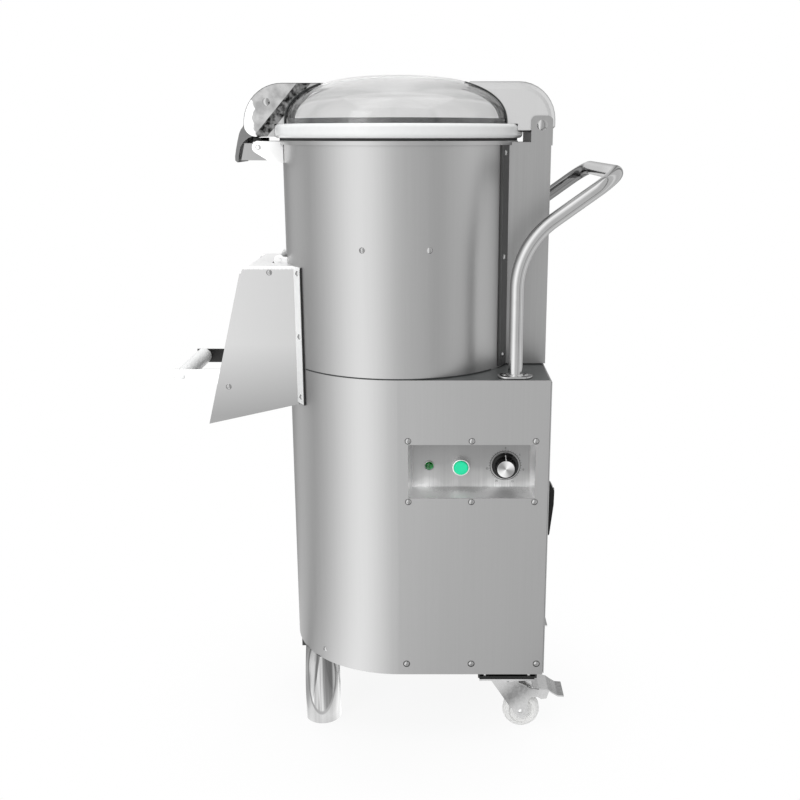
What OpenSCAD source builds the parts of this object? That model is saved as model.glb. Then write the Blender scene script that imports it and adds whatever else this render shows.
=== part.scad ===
// Floor-standing electric potato peeler, in millimetres.
// Z is up from the floor, the controls face -Y and the discharge hood points to -X.

/* [Barrel] */
// Outer radius of the barrel and of the cabinet's round end
body_r = 185; // [180:1:190]
// Height of the barrel's rim above the floor
rim_z = 972; // [960:1:985]
// Thickness of the steel sheet
sheet_t = 2; // [1.6:0.1:2.2]
// Width of the discharge outlet
outlet_w = 132; // [120:1:138]
// Height of the discharge outlet
outlet_h = 100; // [90:1:102]
// Reach of the barrel's rolled rim past its wall
rim_w = 5; // [3:0.5:7]

/* [Cabinet] */
// Reach of the cabinet's flat side past its round end's radius
cabinet_out = 48.5; // [45:0.5:55]
// Height of the cabinet's lower edge above the floor
cabinet_z = 127; // [124:1:130]
// Height of the deck above the floor
deck_z = 621; // [615:1:627]
// Distance of the control recess's left edge from the barrel axis
recess_x = 16; // [12:1:18]
// Distance of the recess's right edge from the cabinet's flat side
recess_side = 20.5; // [19:0.5:24]
// Height of the control recess
recess_h = 87; // [84:1:92]
// Height of the middle of the control recess above the floor
recess_z = 475.5; // [470:0.5:480]
// Depth of the control recess
recess_d = 30; // [24:1:34]

/* [Lid] */
// Reach of the lid ring past the barrel's wall
ring_out = 12; // [10:0.5:14]
// Height of the lid ring
ring_h = 21; // [19:0.5:22]
// Distance of the clear dome's foot inside the barrel's wall
dome_in = 4; // [3:0.5:6]
// Rise of the clear dome above its foot
dome_h = 76; // [72:1:80]
// Wall of the clear dome
dome_t = 4; // [3:0.5:5]
// Width of the lid handle box
lid_handle_w = 96; // [90:1:100]
// Distance of the lid hinge inside the cabinet's flat side
hinge_in = 12.1; // [11.5:0.1:13]

/* [Tower and push handle] */
// Outer width of the lid hinge tower
tower_w = 148; // [144:1:152]
// Distance of the tower's front edge inside the barrel's wall
tower_in = 13; // [12:1:15]
// Diameter of the push handle's tube
handle_d = 22; // [20:0.5:25]
// Distance of the push handle's feet inside the cabinet's flat side
handle_foot_in = 53.1; // [51:0.1:55]
// Distance of each handle leg inside the cabinet's side
handle_in = 20; // [19:1:23]
// Height where the push handle starts to bend
handle_bend_z = 757; // [740:1:770]
// Angle that the push handle bends through
handle_bend = 54.4; // [50:0.2:58]
// Distance of the handle's cross bar from the barrel axis
handle_bar_x = 327; // [320:1:335]

/* [Discharge hood] */
// Outer width of the hood
hood_w = 180; // [176:1:182]
// Height of the hood's top above the floor
hood_top_z = 782; // [780:1:784]
// Height of the hood's lower right corner above the floor
hood_foot_z = 562; // [558:1:566]
// Reach of the hood's lower left corner from the barrel axis
hood_reach = 309; // [300:1:315]
// Reach of the hood's upper left corner from the barrel axis
hood_top_reach = 246; // [242:1:250]
// Reach of the flap's arms from the barrel axis
arm_reach = 361.5; // [350:0.5:370]
// Diameter of the flap's grip
grip_d = 27; // [24:0.5:28]

/* [Feet] */
// Diameter of the leg tube
leg_d = 60; // [58:0.5:61]
// Distance of each leg inside the cabinet's wall
leg_in = 18; // [17:0.5:20]
// Diameter of the caster wheel
wheel_d = 63; // [61:0.5:64]
// Width of the caster wheel
wheel_w = 25; // [22:0.5:26]
// Trail of the wheel axle behind the swivel axis
caster_trail = 27; // [25:0.5:29]
// Distance of the swivel axis inside the cabinet's flat side
caster_axis_in = 55.5; // [53:0.5:57]
// Distance of each caster inside the cabinet's side
caster_in = 58; // [57:1:63]

/* [Controls] */
// Outer diameter of the push button's bezel
bezel_d = 28; // [27:0.5:29]
// Travel of the start button
button_travel = 3; // [2:0.5:3.5]
// Diameter of the timer knob's skirt
knob_d = 42; // [40:0.5:44]
// Height of the timer knob
knob_h = 18; // [16:0.5:20]

/* [Drive] */
// Pitch radius of the large pulley
big_pitch_r = 86; // [84:0.5:88]
// Pitch radius of the motor pulley
small_pitch_r = 21.5; // [21:0.5:22]
// Distance of the abrasive disc's edge inside the barrel's wall
disc_in = 11; // [9:0.5:15]
// Radius of the spindle shaft
shaft_r = 15; // [14:0.5:16]

/* [Hidden] */

// Colours as the photograph shows them
steel = [0.66, 0.66, 0.66];
pale_steel = [0.83, 0.83, 0.83];
bright_steel = [0.93, 0.93, 0.93];
deck_grey = [0.35, 0.35, 0.35];
zinc = [0.74, 0.74, 0.75];
nylon = [0.93, 0.93, 0.92];
black = [0.06, 0.06, 0.06];
clear = [0.85, 0.88, 0.88, 0.4];
grit = [0.30, 0.28, 0.26];
cast_grey = [0.45, 0.47, 0.50];
green = [0.08, 0.89, 0.63];

// Clearances and common small sizes
gap = 0.3;
run = 0.05;
over = 5;
fine = 96;
small = 32;
min_wall = 1.5;
edge = 1;
slice_t = 0.3;

// The part's own origin lies under the middle of its outline
handle_r = handle_d / 2;
grip_end = 11.5;
axis_x = (arm_reach - grip_end + grip_d / 2 - handle_bar_x - handle_r) / 2;
inner_r = body_r - sheet_t;
cabinet_x = body_r + cabinet_out;
lid_hinge_x = cabinet_x - hinge_in;
handle_x = cabinet_x - handle_foot_in;
caster_x = cabinet_x - caster_axis_in;
recess_w = cabinet_x - recess_side - recess_x;
ring_r = body_r + ring_out;
dome_r = body_r - dome_in;
tower_x = body_r - tower_in;
handle_y = body_r - handle_in;
leg_r = body_r - leg_in;
caster_y = body_r - caster_in;
disc_r = body_r - disc_in;

// Dome-head screws
screw_r = 2.5;
screw_head_r = 4.6;
screw_head_h = 2.4;
screw_l = 7;
wall_screw_l = sheet_t;
flange_screw_l = 2 * sheet_t + gap;
screw_socket_r = 1.6;
screw_socket_h = 1.2;

// Barrel
barrel_z = deck_z + gap;
rim_h = 6;
floor_t = 2;
seal_room = 13.4;
seal_bore_r = shaft_r + seal_room;
outlet_rise = 45;
outlet_z = deck_z + outlet_rise;
outlet_top_z = outlet_z + outlet_h;
barrel_screw_x = 50;
barrel_screw_z = 816;
liner_t = 3.5;
liner_r = inner_r - gap;
liner_drop = 20;
liner_z = outlet_z - liner_drop;
liner_rise = 115;
liner_top_z = outlet_top_z + liner_rise;

// Drain and water inlet
drain_x = 60;
drain_in = 75;
drain_y = body_r - drain_in;
drain_r = 20;
drain_t = 2;
drain_drop = 61;
drain_z = deck_z - drain_drop;
drain_bend_r = 35;
rear_out = 19;
rear_reach = body_r + rear_out;
inlet_r = 8;
inlet_bore_r = 5;
inlet_nut_r = 12.8;
inlet_z = 900;
inlet_yaw = 90;
spigot_collar_r = 25;
spigot_collar_t = 3;
hose_r = 18;

// Cabinet
lip_w = 22;
doorway_margin = 14;
skirt_rise = 19;
skirt_screw_z = cabinet_z + skirt_rise;
skirt_screw_shares = [0.05, 0.5, 0.955];
round_screw_yaw = 47;
plate_gap = 0.3;
base_t = 3;
base_rim_h = 24;
deck_t = 3;
deck_rim_h = 14;
gland_x = 150;
gland_rise = 43;
gland_z = cabinet_z + gland_rise;
gland_r = 8;
gland_nut_r = 12;
gland_bore_r = 5;

// Inner frame
post_w = 20;
post_t = 2;
post_in = 45;
post_y = body_r - post_in;
post_left_x = -8;
post_room = 10;
post_right_x = cabinet_x - post_w / 2 - post_room;
shelf_t = 4;
bar_h = 20;

// Drive
pulley_w = 26;
pulley_drop = 136;
pulley_z = deck_z - pulley_drop;
belt_w = 9;
belt_t = 8;
groove_depth = 10;
groove_gap = 0.6;
groove_flare = 2;
spoke_count = 5;
spoke_share = 0.5;
spoke_r_share = 0.2;
big_r = big_pitch_r + belt_t / 2 + groove_gap;
small_r = small_pitch_r + belt_t / 2 + groove_gap;
motor_x = 128;
motor_y = 45;
motor_r = 62;
motor_h = 184;
motor_fin_h = 7;
motor_fins = 24;
motor_fin_t = 3;
motor_flange_r = 75;
motor_flange_t = 10;
motor_shaft_r = 9.5;
motor_bore_h = 140;
cowl_h = 24;
terminal_w = 60;
terminal_d = 26;
terminal_z = 129;
shelf_drop = 25;
shelf_z = pulley_z - shelf_drop;
shaft_past = 8;
shaft_bottom_z = pulley_z - shaft_past;
shaft_rise = 45;
shaft_top_z = deck_z + shaft_rise;
disc_rise = 19;
disc_z = deck_z + disc_rise;
disc_t = 8;
disc_hub_r = 26;
disc_hub_h = 18;
wave_r = 9;
wave_count = 4;
housing_r = 40;
housing_flange_r = 62;
housing_flange_t = 6;
housing_rise = 12;
housing_z = pulley_z + pulley_w + housing_rise;
bearing_r = 31;
bearing_w = 16;
bearing_seat_z = 5;
spacer_r = 28;
seal_h = 14;
bearing_low_z = housing_z + bearing_seat_z;
bearing_top_z = deck_z - deck_t - seal_h - bearing_w;
seal_r = seal_bore_r - gap;

// Control panel
front_y = -body_r;
tray_t = 1.5;
tray_lip = 8;
tray_slope_x = 6;
tray_slope_low = 9;
tray_slope_top = 3;
tray_y = front_y + recess_d;
recess_low_z = recess_z - recess_h / 2;
recess_top_z = recess_z + recess_h / 2;
panel_lift = 0.5;
panel_z = recess_z + panel_lift;
panel_screw_out = 6;
lamp_in = 32.6;
lamp_x = recess_x + lamp_in;
lamp_r = 6.7;
lamp_bezel_r = 8;
lamp_h = 5;
lamp_hole_r = 6;
lamp_tail = 22;
button_off = 16;
button_x = recess_x + recess_w / 2 - button_off;
bezel_h = 12;
bezel_wall = 3;
button_r = bezel_d / 2 - bezel_wall;
button_proud = 2;
button_depth = 8;
bezel_hole_r = button_r;
block_w = 26;
block_d = 30;
knob_in = 44.5;
knob_x = recess_x + recess_w - knob_in;
knob_r = knob_d / 2;
knob_top_r = 14;
knob_body_r = 16.5;
knob_skirt_h = 4;
knob_gap = 1;
cap_t = 1.6;
timer_shaft_r = 3;
timer_bush_r = 4.5;
timer_w = 44;
timer_d = 26;

// Tower
tower_out = 2.5;
tower_right_x = cabinet_x + tower_out;
tower_lift = 2;
tower_z = deck_z + tower_lift;
tower_drop = 2;
tower_top_z = rim_z - tower_drop;
tower_back_drop = 3;
tower_back_z = rim_z - tower_back_drop;
tower_flange_w = 22;
ear_in = 16.4;
ear_x = lid_hinge_x - ear_in;
ear_rise = 37;
ear_top_z = rim_z + ear_rise;
ear_r = 8;
hinge_rise = 23;
hinge_z = rim_z + hinge_rise;
hinge_pin_r = 5;
hinge_head_r = 8;
hinge_head_h = 3;
tower_screw_shares = [0.05, 0.5, 0.955];

// Lid
lid_rise = 4;
lid_z = rim_z + lid_rise;
ring_in = 7;
ring_inner_r = dome_r - dome_t - ring_in;
ring_round = 6;
ring_top_z = lid_z + ring_h;
dome_sink = 2;
dome_z = ring_top_z - dome_sink;
dome_foot = 8;
dome_power = 2.5;
dome_steps = 22;
seal_w = 8;
seal_in = 1;
seal_out_r = body_r + rim_w - seal_in;
cover_root_share = 0.6;
trim_share = 0.3;
trim_t = 4;
trim_w = 4;
cover_rise = 88;
cover_top_z = rim_z + cover_rise;
cover_play = 4;
cover_w = tower_w - 2 * sheet_t - cover_play;
cover_round = 12;
cover_corner = 8;
cover_low_share = 0.25;
cover_hollow_share = 0.6;
cover_slice_t = 0.75;
cover_steps = [0, 35, 65, 90];
cover_out = 21.6;
cover_right_x = lid_hinge_x + cover_out;
cover_arc_r = 57;
cover_lift = 13;
cover_low_z = rim_z + cover_lift;
boss_r = 9;
handle_rise = 86;
handle_top_z = rim_z + handle_rise;
handle_arc_in = 7;
handle_arc_x = handle_arc_in - body_r;
handle_arc_r = 61;
handle_lift = 6;
handle_low_z = rim_z + handle_lift;
handle_low_r = 19;
handle_low_x = handle_arc_x - handle_arc_r + handle_low_r;
box_t = 1.5;
latch_out = 18;
latch_x = -body_r - latch_out;
latch_rise = 58;
latch_z = rim_z + latch_rise;
latch_pin_r = 4;

// Latch lever and its keeper
slot_z = latch_z;
lever_play = 1;
lever_w = lid_handle_w - 2 * box_t - lever_play;
lip_t = 2;
arm_t = 2;
lever_boss_r = 7;
// Points of the lever's side, from the barrel's wall and its rim
lip_points = [[-55, 22], [-59, 17], [-62, 11], [-65, 0], [-68, -13], [-70, -24], [-70, -30], [-67, -33]];
lever_points = [[-65, -31], [-64, -22], [-61, -10], [-56, -2], [-48, 4], [-39, 7], [-31, 14], [-12, 54],
    [-18, 65], [-37, 60]];
lip_steps = [152:6.75:179];
slot_notch_h = 11;
keeper_w = 96;
keeper_t = 2.5;
lug_out = 33;
lug_x = -body_r - lug_out;
lug_drop = 10;
lug_z = rim_z - lug_drop;
lug_r = 10;
keeper_top_drop = 4;
keeper_top_z = rim_z - keeper_top_drop;
keeper_low_drop = 30;
keeper_low_z = rim_z - keeper_low_drop;
keeper_left_x = latch_x;
keeper_pin_r = 4;
strike_out = 55;
strike_x = -body_r - strike_out;
strike_lean = 6;

// Discharge hood and flap
hood_y = hood_w / 2;
hood_corner_r = 12;
hood_tip_drop = 36;
hood_flange_w = 22;
hood_screw_shares = [0.055, 0.5, 0.955];
hood_notch_w = 92;
apron_h = 32;
flap_axis_out = 7;
flap_axis_x = -body_r - flap_axis_out;
flap_axis_rise = 4;
flap_axis_z = hood_top_z + flap_axis_rise;
eye_r = 9;
eye_t = 4;
eye_y = 44;
flap_pin_r = 3.5;
knuckle_r = 6;
tongue_w = 48;
seal_t = 2.8;
flap_r = body_r + gap + seal_t + gap;
flap_w = 160;
flap_drop = 6;
flap_top_z = hood_top_z - flap_drop;
arm_z = 591;
arm_h = 24;
arm_w = 4;
seal_border = 9;
grip_x = grip_end - arm_reach;
grip_z = arm_z + arm_h / 2;
spigot_r = 4;
stop_in = 87;
stop_x = stop_in - arm_reach;
stop_r = 3;
hood_screw_out = 17;
hood_screw_x = -body_r - hood_screw_out;
hood_screw_drop = 10;
hood_screw_z = hood_top_z - hood_screw_drop;

flange_screw_share = 0.6;
tower_yaw = asin(tower_w / 2 / body_r);
tower_spread = tower_flange_w / body_r * 180 / PI;
hood_yaw = asin(hood_y / body_r);
hood_spread = hood_flange_w / body_r * 180 / PI;
// How far a plate that is cut to the barrel reaches in before the cut
root_share = 0.8;
eye_neck_share = 0.6;
rivet_share = 1.3;

// Push handle
handle_t = 1.5;
handle_foot_w = 54;
handle_foot_d = 30;
handle_foot_t = 4;
handle_bolt_x = 15.8;
handle_bend_r = 125;
handle_corner_r = 40;
handle_seam = 0.2;
spigot_l = 8;
handle_slope_run = handle_bar_x - handle_x - handle_bend_r * (1 - cos(handle_bend));
handle_bar_z = handle_bend_z + handle_bend_r * sin(handle_bend) + handle_slope_run / tan(handle_bend);
bolt_r = 4;
bolt_head_r = 5.6;
bolt_head_h = 4;
bolt_l = 12;

// Under-frame, legs and casters
beam_w = 74;
beam_h = 27;
beam_z = cabinet_z - beam_h;
beam_in = 7;
beam_left_x = beam_in - body_r;
rail_h = 24;
rail_z = cabinet_z - rail_h;
rail_in = 48;
rail_x = caster_x - rail_in;
rail_w = 98;
rail_past = 28;
rail_l = 2 * (caster_y + rail_past);
frame_t = 3;
leg_t = 2;
leg_y = 97;
leg_yaw = asin(leg_y / leg_r);
slash_z = 21;
leg_cap_t = 3;
caster_plate_x = 92;
caster_plate_y = 64;
caster_plate_t = 3;
caster_bolt_x = 36.5;
caster_bolt_y = 22.5;
race_r = 22;
race_h = 5;
king_r = 5;
king_head_r = 8;
king_head_h = 2.5;
fork_gap = 0.6;
fork_top_z = rail_z - caster_plate_t - race_h - fork_gap;
king_gap = 0.5;
wheel_r = wheel_d / 2;
rivet_head_share = 1.5;
tread_share = 0.4;
hollow_share = 0.58;
hollow_r_share = 0.13;
tread_a = 60;
fork_top_t = 3;
fork_t = 2.5;
fork_play = 1.5;
fork_gauge = wheel_w / 2 + fork_play;
axle_r = 4;
axle_boss_r = 10.5;
wheel_round = 7;
pedal_w = 46;
pedal_t = 2.5;
pedal_pivot_x = 51;
pedal_pivot_z = 68;
pedal_pin_r = 2.5;
// Outlines of the fork's side, the pedal's top and the brake's arm, from the swivel axis and the floor
fork_points = [[-27, 94], [20, 94], [22, 86], [42, 76.5], [56, 74], [56, 61], [44, 60], [39.5, 57.5],
    [37.5, 53], [37.5, 31.5], [18, 26]];
pedal_points = [[44, 85], [54, 83], [70, 79], [78, 73], [86, 68], [97, 67]];
brake_points = [[45, 84], [54, 82], [64, 79], [74, 72], [69, 56], [60, 55], [47, 63]];

// Side access door and its lock
door_gap = 0.5;
door_t = 1.5;
door_x = cabinet_x + door_gap;
door_out_x = door_x + door_t;
door_lift = 2;
door_z = cabinet_z + door_lift;
door_drop = 3;
door_top_z = deck_z - door_drop;
door_hinge_r = 4;
door_pin_r = 2;
door_hinge_out = 2;
door_hinge_x = cabinet_x + door_hinge_out;
door_hinge_gap = 0.2;
door_hinge_y = body_r + door_hinge_r + door_hinge_gap;
door_hinge_h = 30;
door_hinge_shares = [0.15, 0.8];
leaf_w = 30;
stiffener_w = 12;
stiffener_past = 57;
stiffener_y = stiffener_past - body_r;
stiffener_in = 8;
lock_in = 35;
lock_y = lock_in - body_r;
lock_z = 431;
lock_head_r = 17;
lock_low_z = 357;
lock_plate_t = 2;
lock_head_h = 8;
lock_low_r = 8;
plate_margin = 3;
lever_slope_share = 0.4;
lock_cyl_proud = 1.5;
lock_tip_h = 2.5;
lock_cyl_r = 6.5;
lock_shaft_r = 5;
cam_l = 26;
cam_w = 14;
cam_t = 3;

module on_axis() translate([axis_x, 0, 0]) children();

module both_sides() {
    children();
    mirror([0, 1, 0]) children();
}

// An outline in X and Z, given a width along Y about y_mid
module slab(y_mid, w) {
    translate([0, y_mid + w / 2, 0]) rotate([90, 0, 0]) linear_extrude(w) children();
}

// The D-shaped plan of the cabinet, moved inwards by inset
module body_plan(inset) {
    circle(r = body_r - inset, $fn = fine);
    translate([0, inset - body_r]) square([cabinet_x - inset, 2 * (body_r - inset)]);
}

module tube(r, bore, h) {
    difference() {
        cylinder(r = r, h = h, $fn = fine);
        translate([0, 0, -over]) cylinder(r = bore, h = h + 2 * over, $fn = fine);
    }
}

// A sector of a ring, centred on angle yaw and cut to a half width or an angle
module ring_sector(r, t, z, h, yaw, spread) {
    rotate([0, 0, yaw - spread / 2])
        translate([0, 0, z])
            rotate_extrude(angle = spread, $fn = fine)
                translate([r, 0]) square([t, h]);
}

module dome_screw(l) {
    cap_r = (screw_head_r * screw_head_r + screw_head_h * screw_head_h) / (2 * screw_head_h);
    difference() {
        intersection() {
            translate([0, 0, screw_head_h - cap_r]) sphere(r = cap_r, $fn = small);
            cylinder(r = screw_head_r, h = screw_head_h, $fn = small);
        }
        translate([0, 0, screw_head_h - screw_socket_h])
            cylinder(r = screw_socket_r, h = screw_head_h, $fn = 6);
    }
    translate([0, 0, -l]) cylinder(r = screw_r, h = l, $fn = small);
}

module face_screw(x, z) translate([x, front_y, z]) rotate([90, 0, 0]) children();

// Puts a screw on the round wall of radius r, facing the angle yaw
module round_screw(r, yaw, z) rotate([0, 0, yaw]) translate([r, 0, z]) rotate([0, 90, 0]) children();

// Places that fasteners take in the cabinet, the barrel, the tower and the hood
module cabinet_fixings() {
    for (x = [recess_x, recess_x + recess_w / 2, recess_x + recess_w],
         z = [recess_low_z - panel_screw_out, recess_top_z + panel_screw_out])
        face_screw(x, z) children();
    both_sides() {
        for (s = skirt_screw_shares) face_screw(s * cabinet_x, skirt_screw_z) children();
        round_screw(body_r, 180 + round_screw_yaw, skirt_screw_z) children();
    }
}

module barrel_fixings() {
    for (s = [-1, 1])
        round_screw(body_r, -90 + s * asin(barrel_screw_x / body_r), barrel_screw_z) children();
}

module tower_fixings() {
    both_sides()
        for (s = tower_screw_shares)
            round_screw(body_r + sheet_t + gap, -(tower_yaw + tower_spread * flange_screw_share),
                tower_z + s * (tower_top_z - tower_z)) children();
}

module hood_fixings() {
    both_sides()
        for (s = hood_screw_shares)
            round_screw(body_r + sheet_t + gap, 180 + hood_yaw + hood_spread * flange_screw_share,
                hood_foot_z + s * (hood_top_z - hood_foot_z)) children();
}

module hood_plate_fixings() {
    both_sides()
        for (p = [[hood_screw_x, hood_screw_z], [stop_x, arm_z - stop_r]])
            translate([p[0], -hood_y, p[1]]) rotate([90, 0, 0]) children();
}

module screw_hole() translate([0, 0, -screw_l - over]) cylinder(r = screw_r + run, h = screw_l + 2 * over, $fn = small);

// Cabinet
module cabinet_shell() color(steel) on_axis() {
    difference() {
        translate([0, 0, cabinet_z]) linear_extrude(deck_z - cabinet_z) difference() {
            body_plan(0);
            body_plan(sheet_t);
        }
        translate([cabinet_x - sheet_t - over, lip_w - body_r, cabinet_z + doorway_margin])
            cube([2 * over + sheet_t, 2 * (body_r - lip_w), deck_z - cabinet_z - 2 * doorway_margin]);
        translate([recess_x, front_y - over, recess_low_z])
            cube([recess_w, sheet_t + 2 * over, recess_h]);
        cabinet_fixings() screw_hole();
        hood_fixings() screw_hole();
        translate([drain_x, inner_r - over, drain_z]) rotate([-90, 0, 0])
            cylinder(r = drain_r + gap, h = sheet_t + 2 * over, $fn = fine);
        translate([gland_x, inner_r - over, gland_z]) rotate([-90, 0, 0])
            cylinder(r = gland_r + run, h = sheet_t + 2 * over, $fn = fine);
    }
    for (s = door_hinge_shares) translate([0, 0, door_z + s * (door_top_z - door_z)]) {
        translate([door_hinge_x - leaf_w, body_r, -door_hinge_h]) cube([leaf_w, sheet_t, door_hinge_h]);
        translate([door_hinge_x - leaf_w, inner_r, -door_hinge_h]) cube([leaf_w / 2, 2 * sheet_t, door_hinge_h]);
        translate([door_hinge_x, door_hinge_y, -door_hinge_h])
            cylinder(r = door_hinge_r, h = door_hinge_h, $fn = small);
        translate([door_hinge_x, door_hinge_y, -over])
            cylinder(r = door_pin_r, h = door_hinge_h + over, $fn = small);
    }
}

module base_plate() color(steel) on_axis() difference() {
    union() {
        translate([0, 0, cabinet_z]) linear_extrude(base_t) body_plan(sheet_t + plate_gap);
        translate([0, 0, cabinet_z]) linear_extrude(base_rim_h) difference() {
            body_plan(sheet_t + plate_gap);
            body_plan(2 * sheet_t + plate_gap);
        }
    }
    cabinet_fixings() screw_hole();
}

module deck_plate() color(deck_grey) on_axis() difference() {
    union() {
        translate([0, 0, deck_z - deck_t]) linear_extrude(deck_t) body_plan(sheet_t + plate_gap);
        translate([0, 0, deck_z - deck_rim_h]) linear_extrude(deck_rim_h) difference() {
            body_plan(sheet_t + plate_gap);
            body_plan(2 * sheet_t + plate_gap);
        }
    }
    translate([0, 0, deck_z - deck_t - over]) cylinder(r = seal_bore_r, h = deck_t + 2 * over, $fn = fine);
    translate([drain_x, drain_y, deck_z - deck_t - over])
        cylinder(r = drain_r + gap, h = deck_t + 2 * over, $fn = fine);
    handle_bolt_places() translate([0, 0, -bolt_l - over])
        cylinder(r = screw_r + run, h = bolt_l + 2 * over, $fn = small);
}

module inner_frame() color(steel) on_axis() {
    post_z = cabinet_z + base_t;
    post_h = deck_z - deck_t - post_z;
    bar_z = shelf_z - shelf_t - bar_h;
    both_sides() for (x = [post_left_x, post_right_x])
        translate([x, post_y, post_z]) difference() {
            translate([-post_w / 2, -post_w / 2, 0]) cube([post_w, post_w, post_h]);
            translate([post_t - post_w / 2, post_t - post_w / 2, -over])
                cube([post_w - 2 * post_t, post_w - 2 * post_t, post_h + 2 * over]);
        }
    for (x = [post_left_x, post_right_x])
        translate([x - post_w / 2, post_w / 2 - post_y, bar_z]) cube([post_w, 2 * post_y - post_w, bar_h]);
    difference() {
        translate([post_left_x - post_w / 2, motor_y - motor_flange_r, shelf_z - shelf_t])
            cube([post_right_x - post_left_x + post_w, 2 * motor_flange_r, shelf_t]);
        translate([motor_x, motor_y, shelf_z - shelf_t - over])
            cylinder(r = small_r + over, h = shelf_t + 2 * over, $fn = fine);
    }
}

// Under-frame, legs and casters
module under_frame() color(steel) on_axis() {
    difference() {
        translate([beam_left_x, -beam_w / 2, beam_z])
            cube([rail_x + frame_t / 2 - beam_left_x, beam_w, cabinet_z - beam_z]);
        translate([beam_left_x + frame_t, frame_t - beam_w / 2, beam_z + frame_t])
            cube([rail_x - beam_left_x - 2 * frame_t, beam_w - 2 * frame_t, cabinet_z - beam_z - 2 * frame_t]);
    }
    difference() {
        translate([rail_x, -rail_l / 2, rail_z]) cube([rail_w, rail_l, cabinet_z - rail_z]);
        translate([rail_x + frame_t, -rail_l / 2 - over, rail_z + frame_t])
            cube([rail_w - 2 * frame_t, rail_l + 2 * over, cabinet_z - rail_z - 2 * frame_t]);
        caster_bolt_places() translate([0, 0, -over]) cylinder(r = bolt_r + run, h = bolt_l + over, $fn = small);
    }
}

// The half space inside the slash cut of a leg, moved inwards by inset
module slash_side(inset) {
    cut_a = atan((leg_r + leg_d / 2 - body_r) / (cabinet_z - slash_z));
    translate([leg_r + leg_d / 2 - inset, 0, slash_z]) rotate([0, -cut_a, 0])
        translate([-2 * leg_d, -leg_d, -cabinet_z]) cube([2 * leg_d, 2 * leg_d, 3 * cabinet_z]);
}

module legs() color(bright_steel) on_axis() both_sides() rotate([0, 0, 180 + leg_yaw]) difference() {
    intersection() {
        translate([leg_r, 0, 0]) cylinder(r = leg_d / 2, h = cabinet_z, $fn = fine);
        slash_side(0);
    }
    intersection() {
        translate([leg_r, 0, leg_cap_t])
            cylinder(r = leg_d / 2 - leg_t, h = cabinet_z - 2 * leg_cap_t, $fn = fine);
        slash_side(leg_t);
    }
}

module at_casters() both_sides() translate([caster_x, -caster_y, 0]) children();

module caster_bolt_places() {
    at_casters() for (x = [-caster_bolt_x, caster_bolt_x], y = [-caster_bolt_y, caster_bolt_y])
        translate([x, y, rail_z]) children();
}

module caster_plates() color(zinc) on_axis() difference() {
    at_casters() {
        translate([-caster_plate_x / 2, -caster_plate_y / 2, rail_z - caster_plate_t])
            cube([caster_plate_x, caster_plate_y, caster_plate_t]);
        translate([0, 0, rail_z - caster_plate_t - race_h]) cylinder(r = race_r, h = race_h, $fn = fine);
        translate([0, 0, fork_top_z - fork_top_t - king_gap])
            cylinder(r = king_r, h = rail_z - caster_plate_t - fork_top_z + fork_top_t + king_gap, $fn = fine);
        translate([0, 0, fork_top_z - fork_top_t - king_gap - king_head_h])
            cylinder(r = king_head_r, h = king_head_h, $fn = fine);
    }
    caster_bolt_places() translate([0, 0, -caster_plate_t - over])
        cylinder(r = bolt_r + run, h = caster_plate_t + 2 * over, $fn = small);
}

module caster_bolts() color(zinc) on_axis() caster_bolt_places() {
    translate([0, 0, -caster_plate_t]) mirror([0, 0, 1]) dome_head(bolt_head_r, bolt_head_h);
    translate([0, 0, -caster_plate_t]) cylinder(r = bolt_r, h = caster_plate_t + bolt_l - over, $fn = small);
}

module dome_head(r, h) {
    cap_r = (r * r + h * h) / (2 * h);
    intersection() {
        translate([0, 0, h - cap_r]) sphere(r = cap_r, $fn = small);
        cylinder(r = r, h = h, $fn = small);
    }
}

// The caster pieces are drawn with the swivel axis at the origin
module fork_outline() {
    polygon(fork_points);
    translate([caster_trail, wheel_r]) circle(r = axle_boss_r, $fn = fine);
}

module caster_fork() {
    difference() {
        union() {
            both_sides() slab(fork_gauge + fork_t / 2, fork_t) fork_outline();
            translate([0, 0, fork_top_z - fork_top_t]) cylinder(r = race_r, h = fork_top_t, $fn = fine);
            translate([-race_r, -fork_gauge - fork_t / 2, fork_top_z - fork_top_t])
                cube([2 * race_r, 2 * fork_gauge + fork_t, fork_top_t]);
        }
        translate([0, 0, fork_top_z - fork_top_t - over])
            cylinder(r = king_r + run, h = fork_top_t + 2 * over, $fn = fine);
        translate([pedal_pivot_x, 0, pedal_pivot_z]) rotate([90, 0, 0])
            cylinder(r = pedal_pin_r + run, h = pedal_w * 2, center = true, $fn = small);
    }
    translate([caster_trail, 0, wheel_r]) rotate([90, 0, 0])
        cylinder(r = axle_r, h = 2 * (fork_gauge + fork_t), center = true, $fn = fine);
    both_sides() translate([caster_trail, fork_gauge + fork_t, wheel_r]) rotate([-90, 0, 0])
        dome_head(axle_r * rivet_head_share, king_head_h);
}

module caster_wheel() translate([caster_trail, 0, wheel_r]) rotate([90, 0, 0])
    rotate_extrude($fn = fine) difference() {
        polygon([[axle_r + run, -wheel_w / 2], [wheel_r - wheel_round, -wheel_w / 2],
            for (a = [-tread_a:tread_a / 2:tread_a]) [wheel_r - wheel_round + wheel_round * cos(a),
                (wheel_w / 2 - wheel_round * tread_share) * sin(a) / sin(tread_a)],
            [wheel_r - wheel_round, wheel_w / 2], [axle_r + run, wheel_w / 2]]);
        for (s = [-1, 1]) translate([wheel_r * hollow_share, s * wheel_w / 2])
            circle(r = wheel_w * hollow_r_share, $fn = small);
    }

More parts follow.
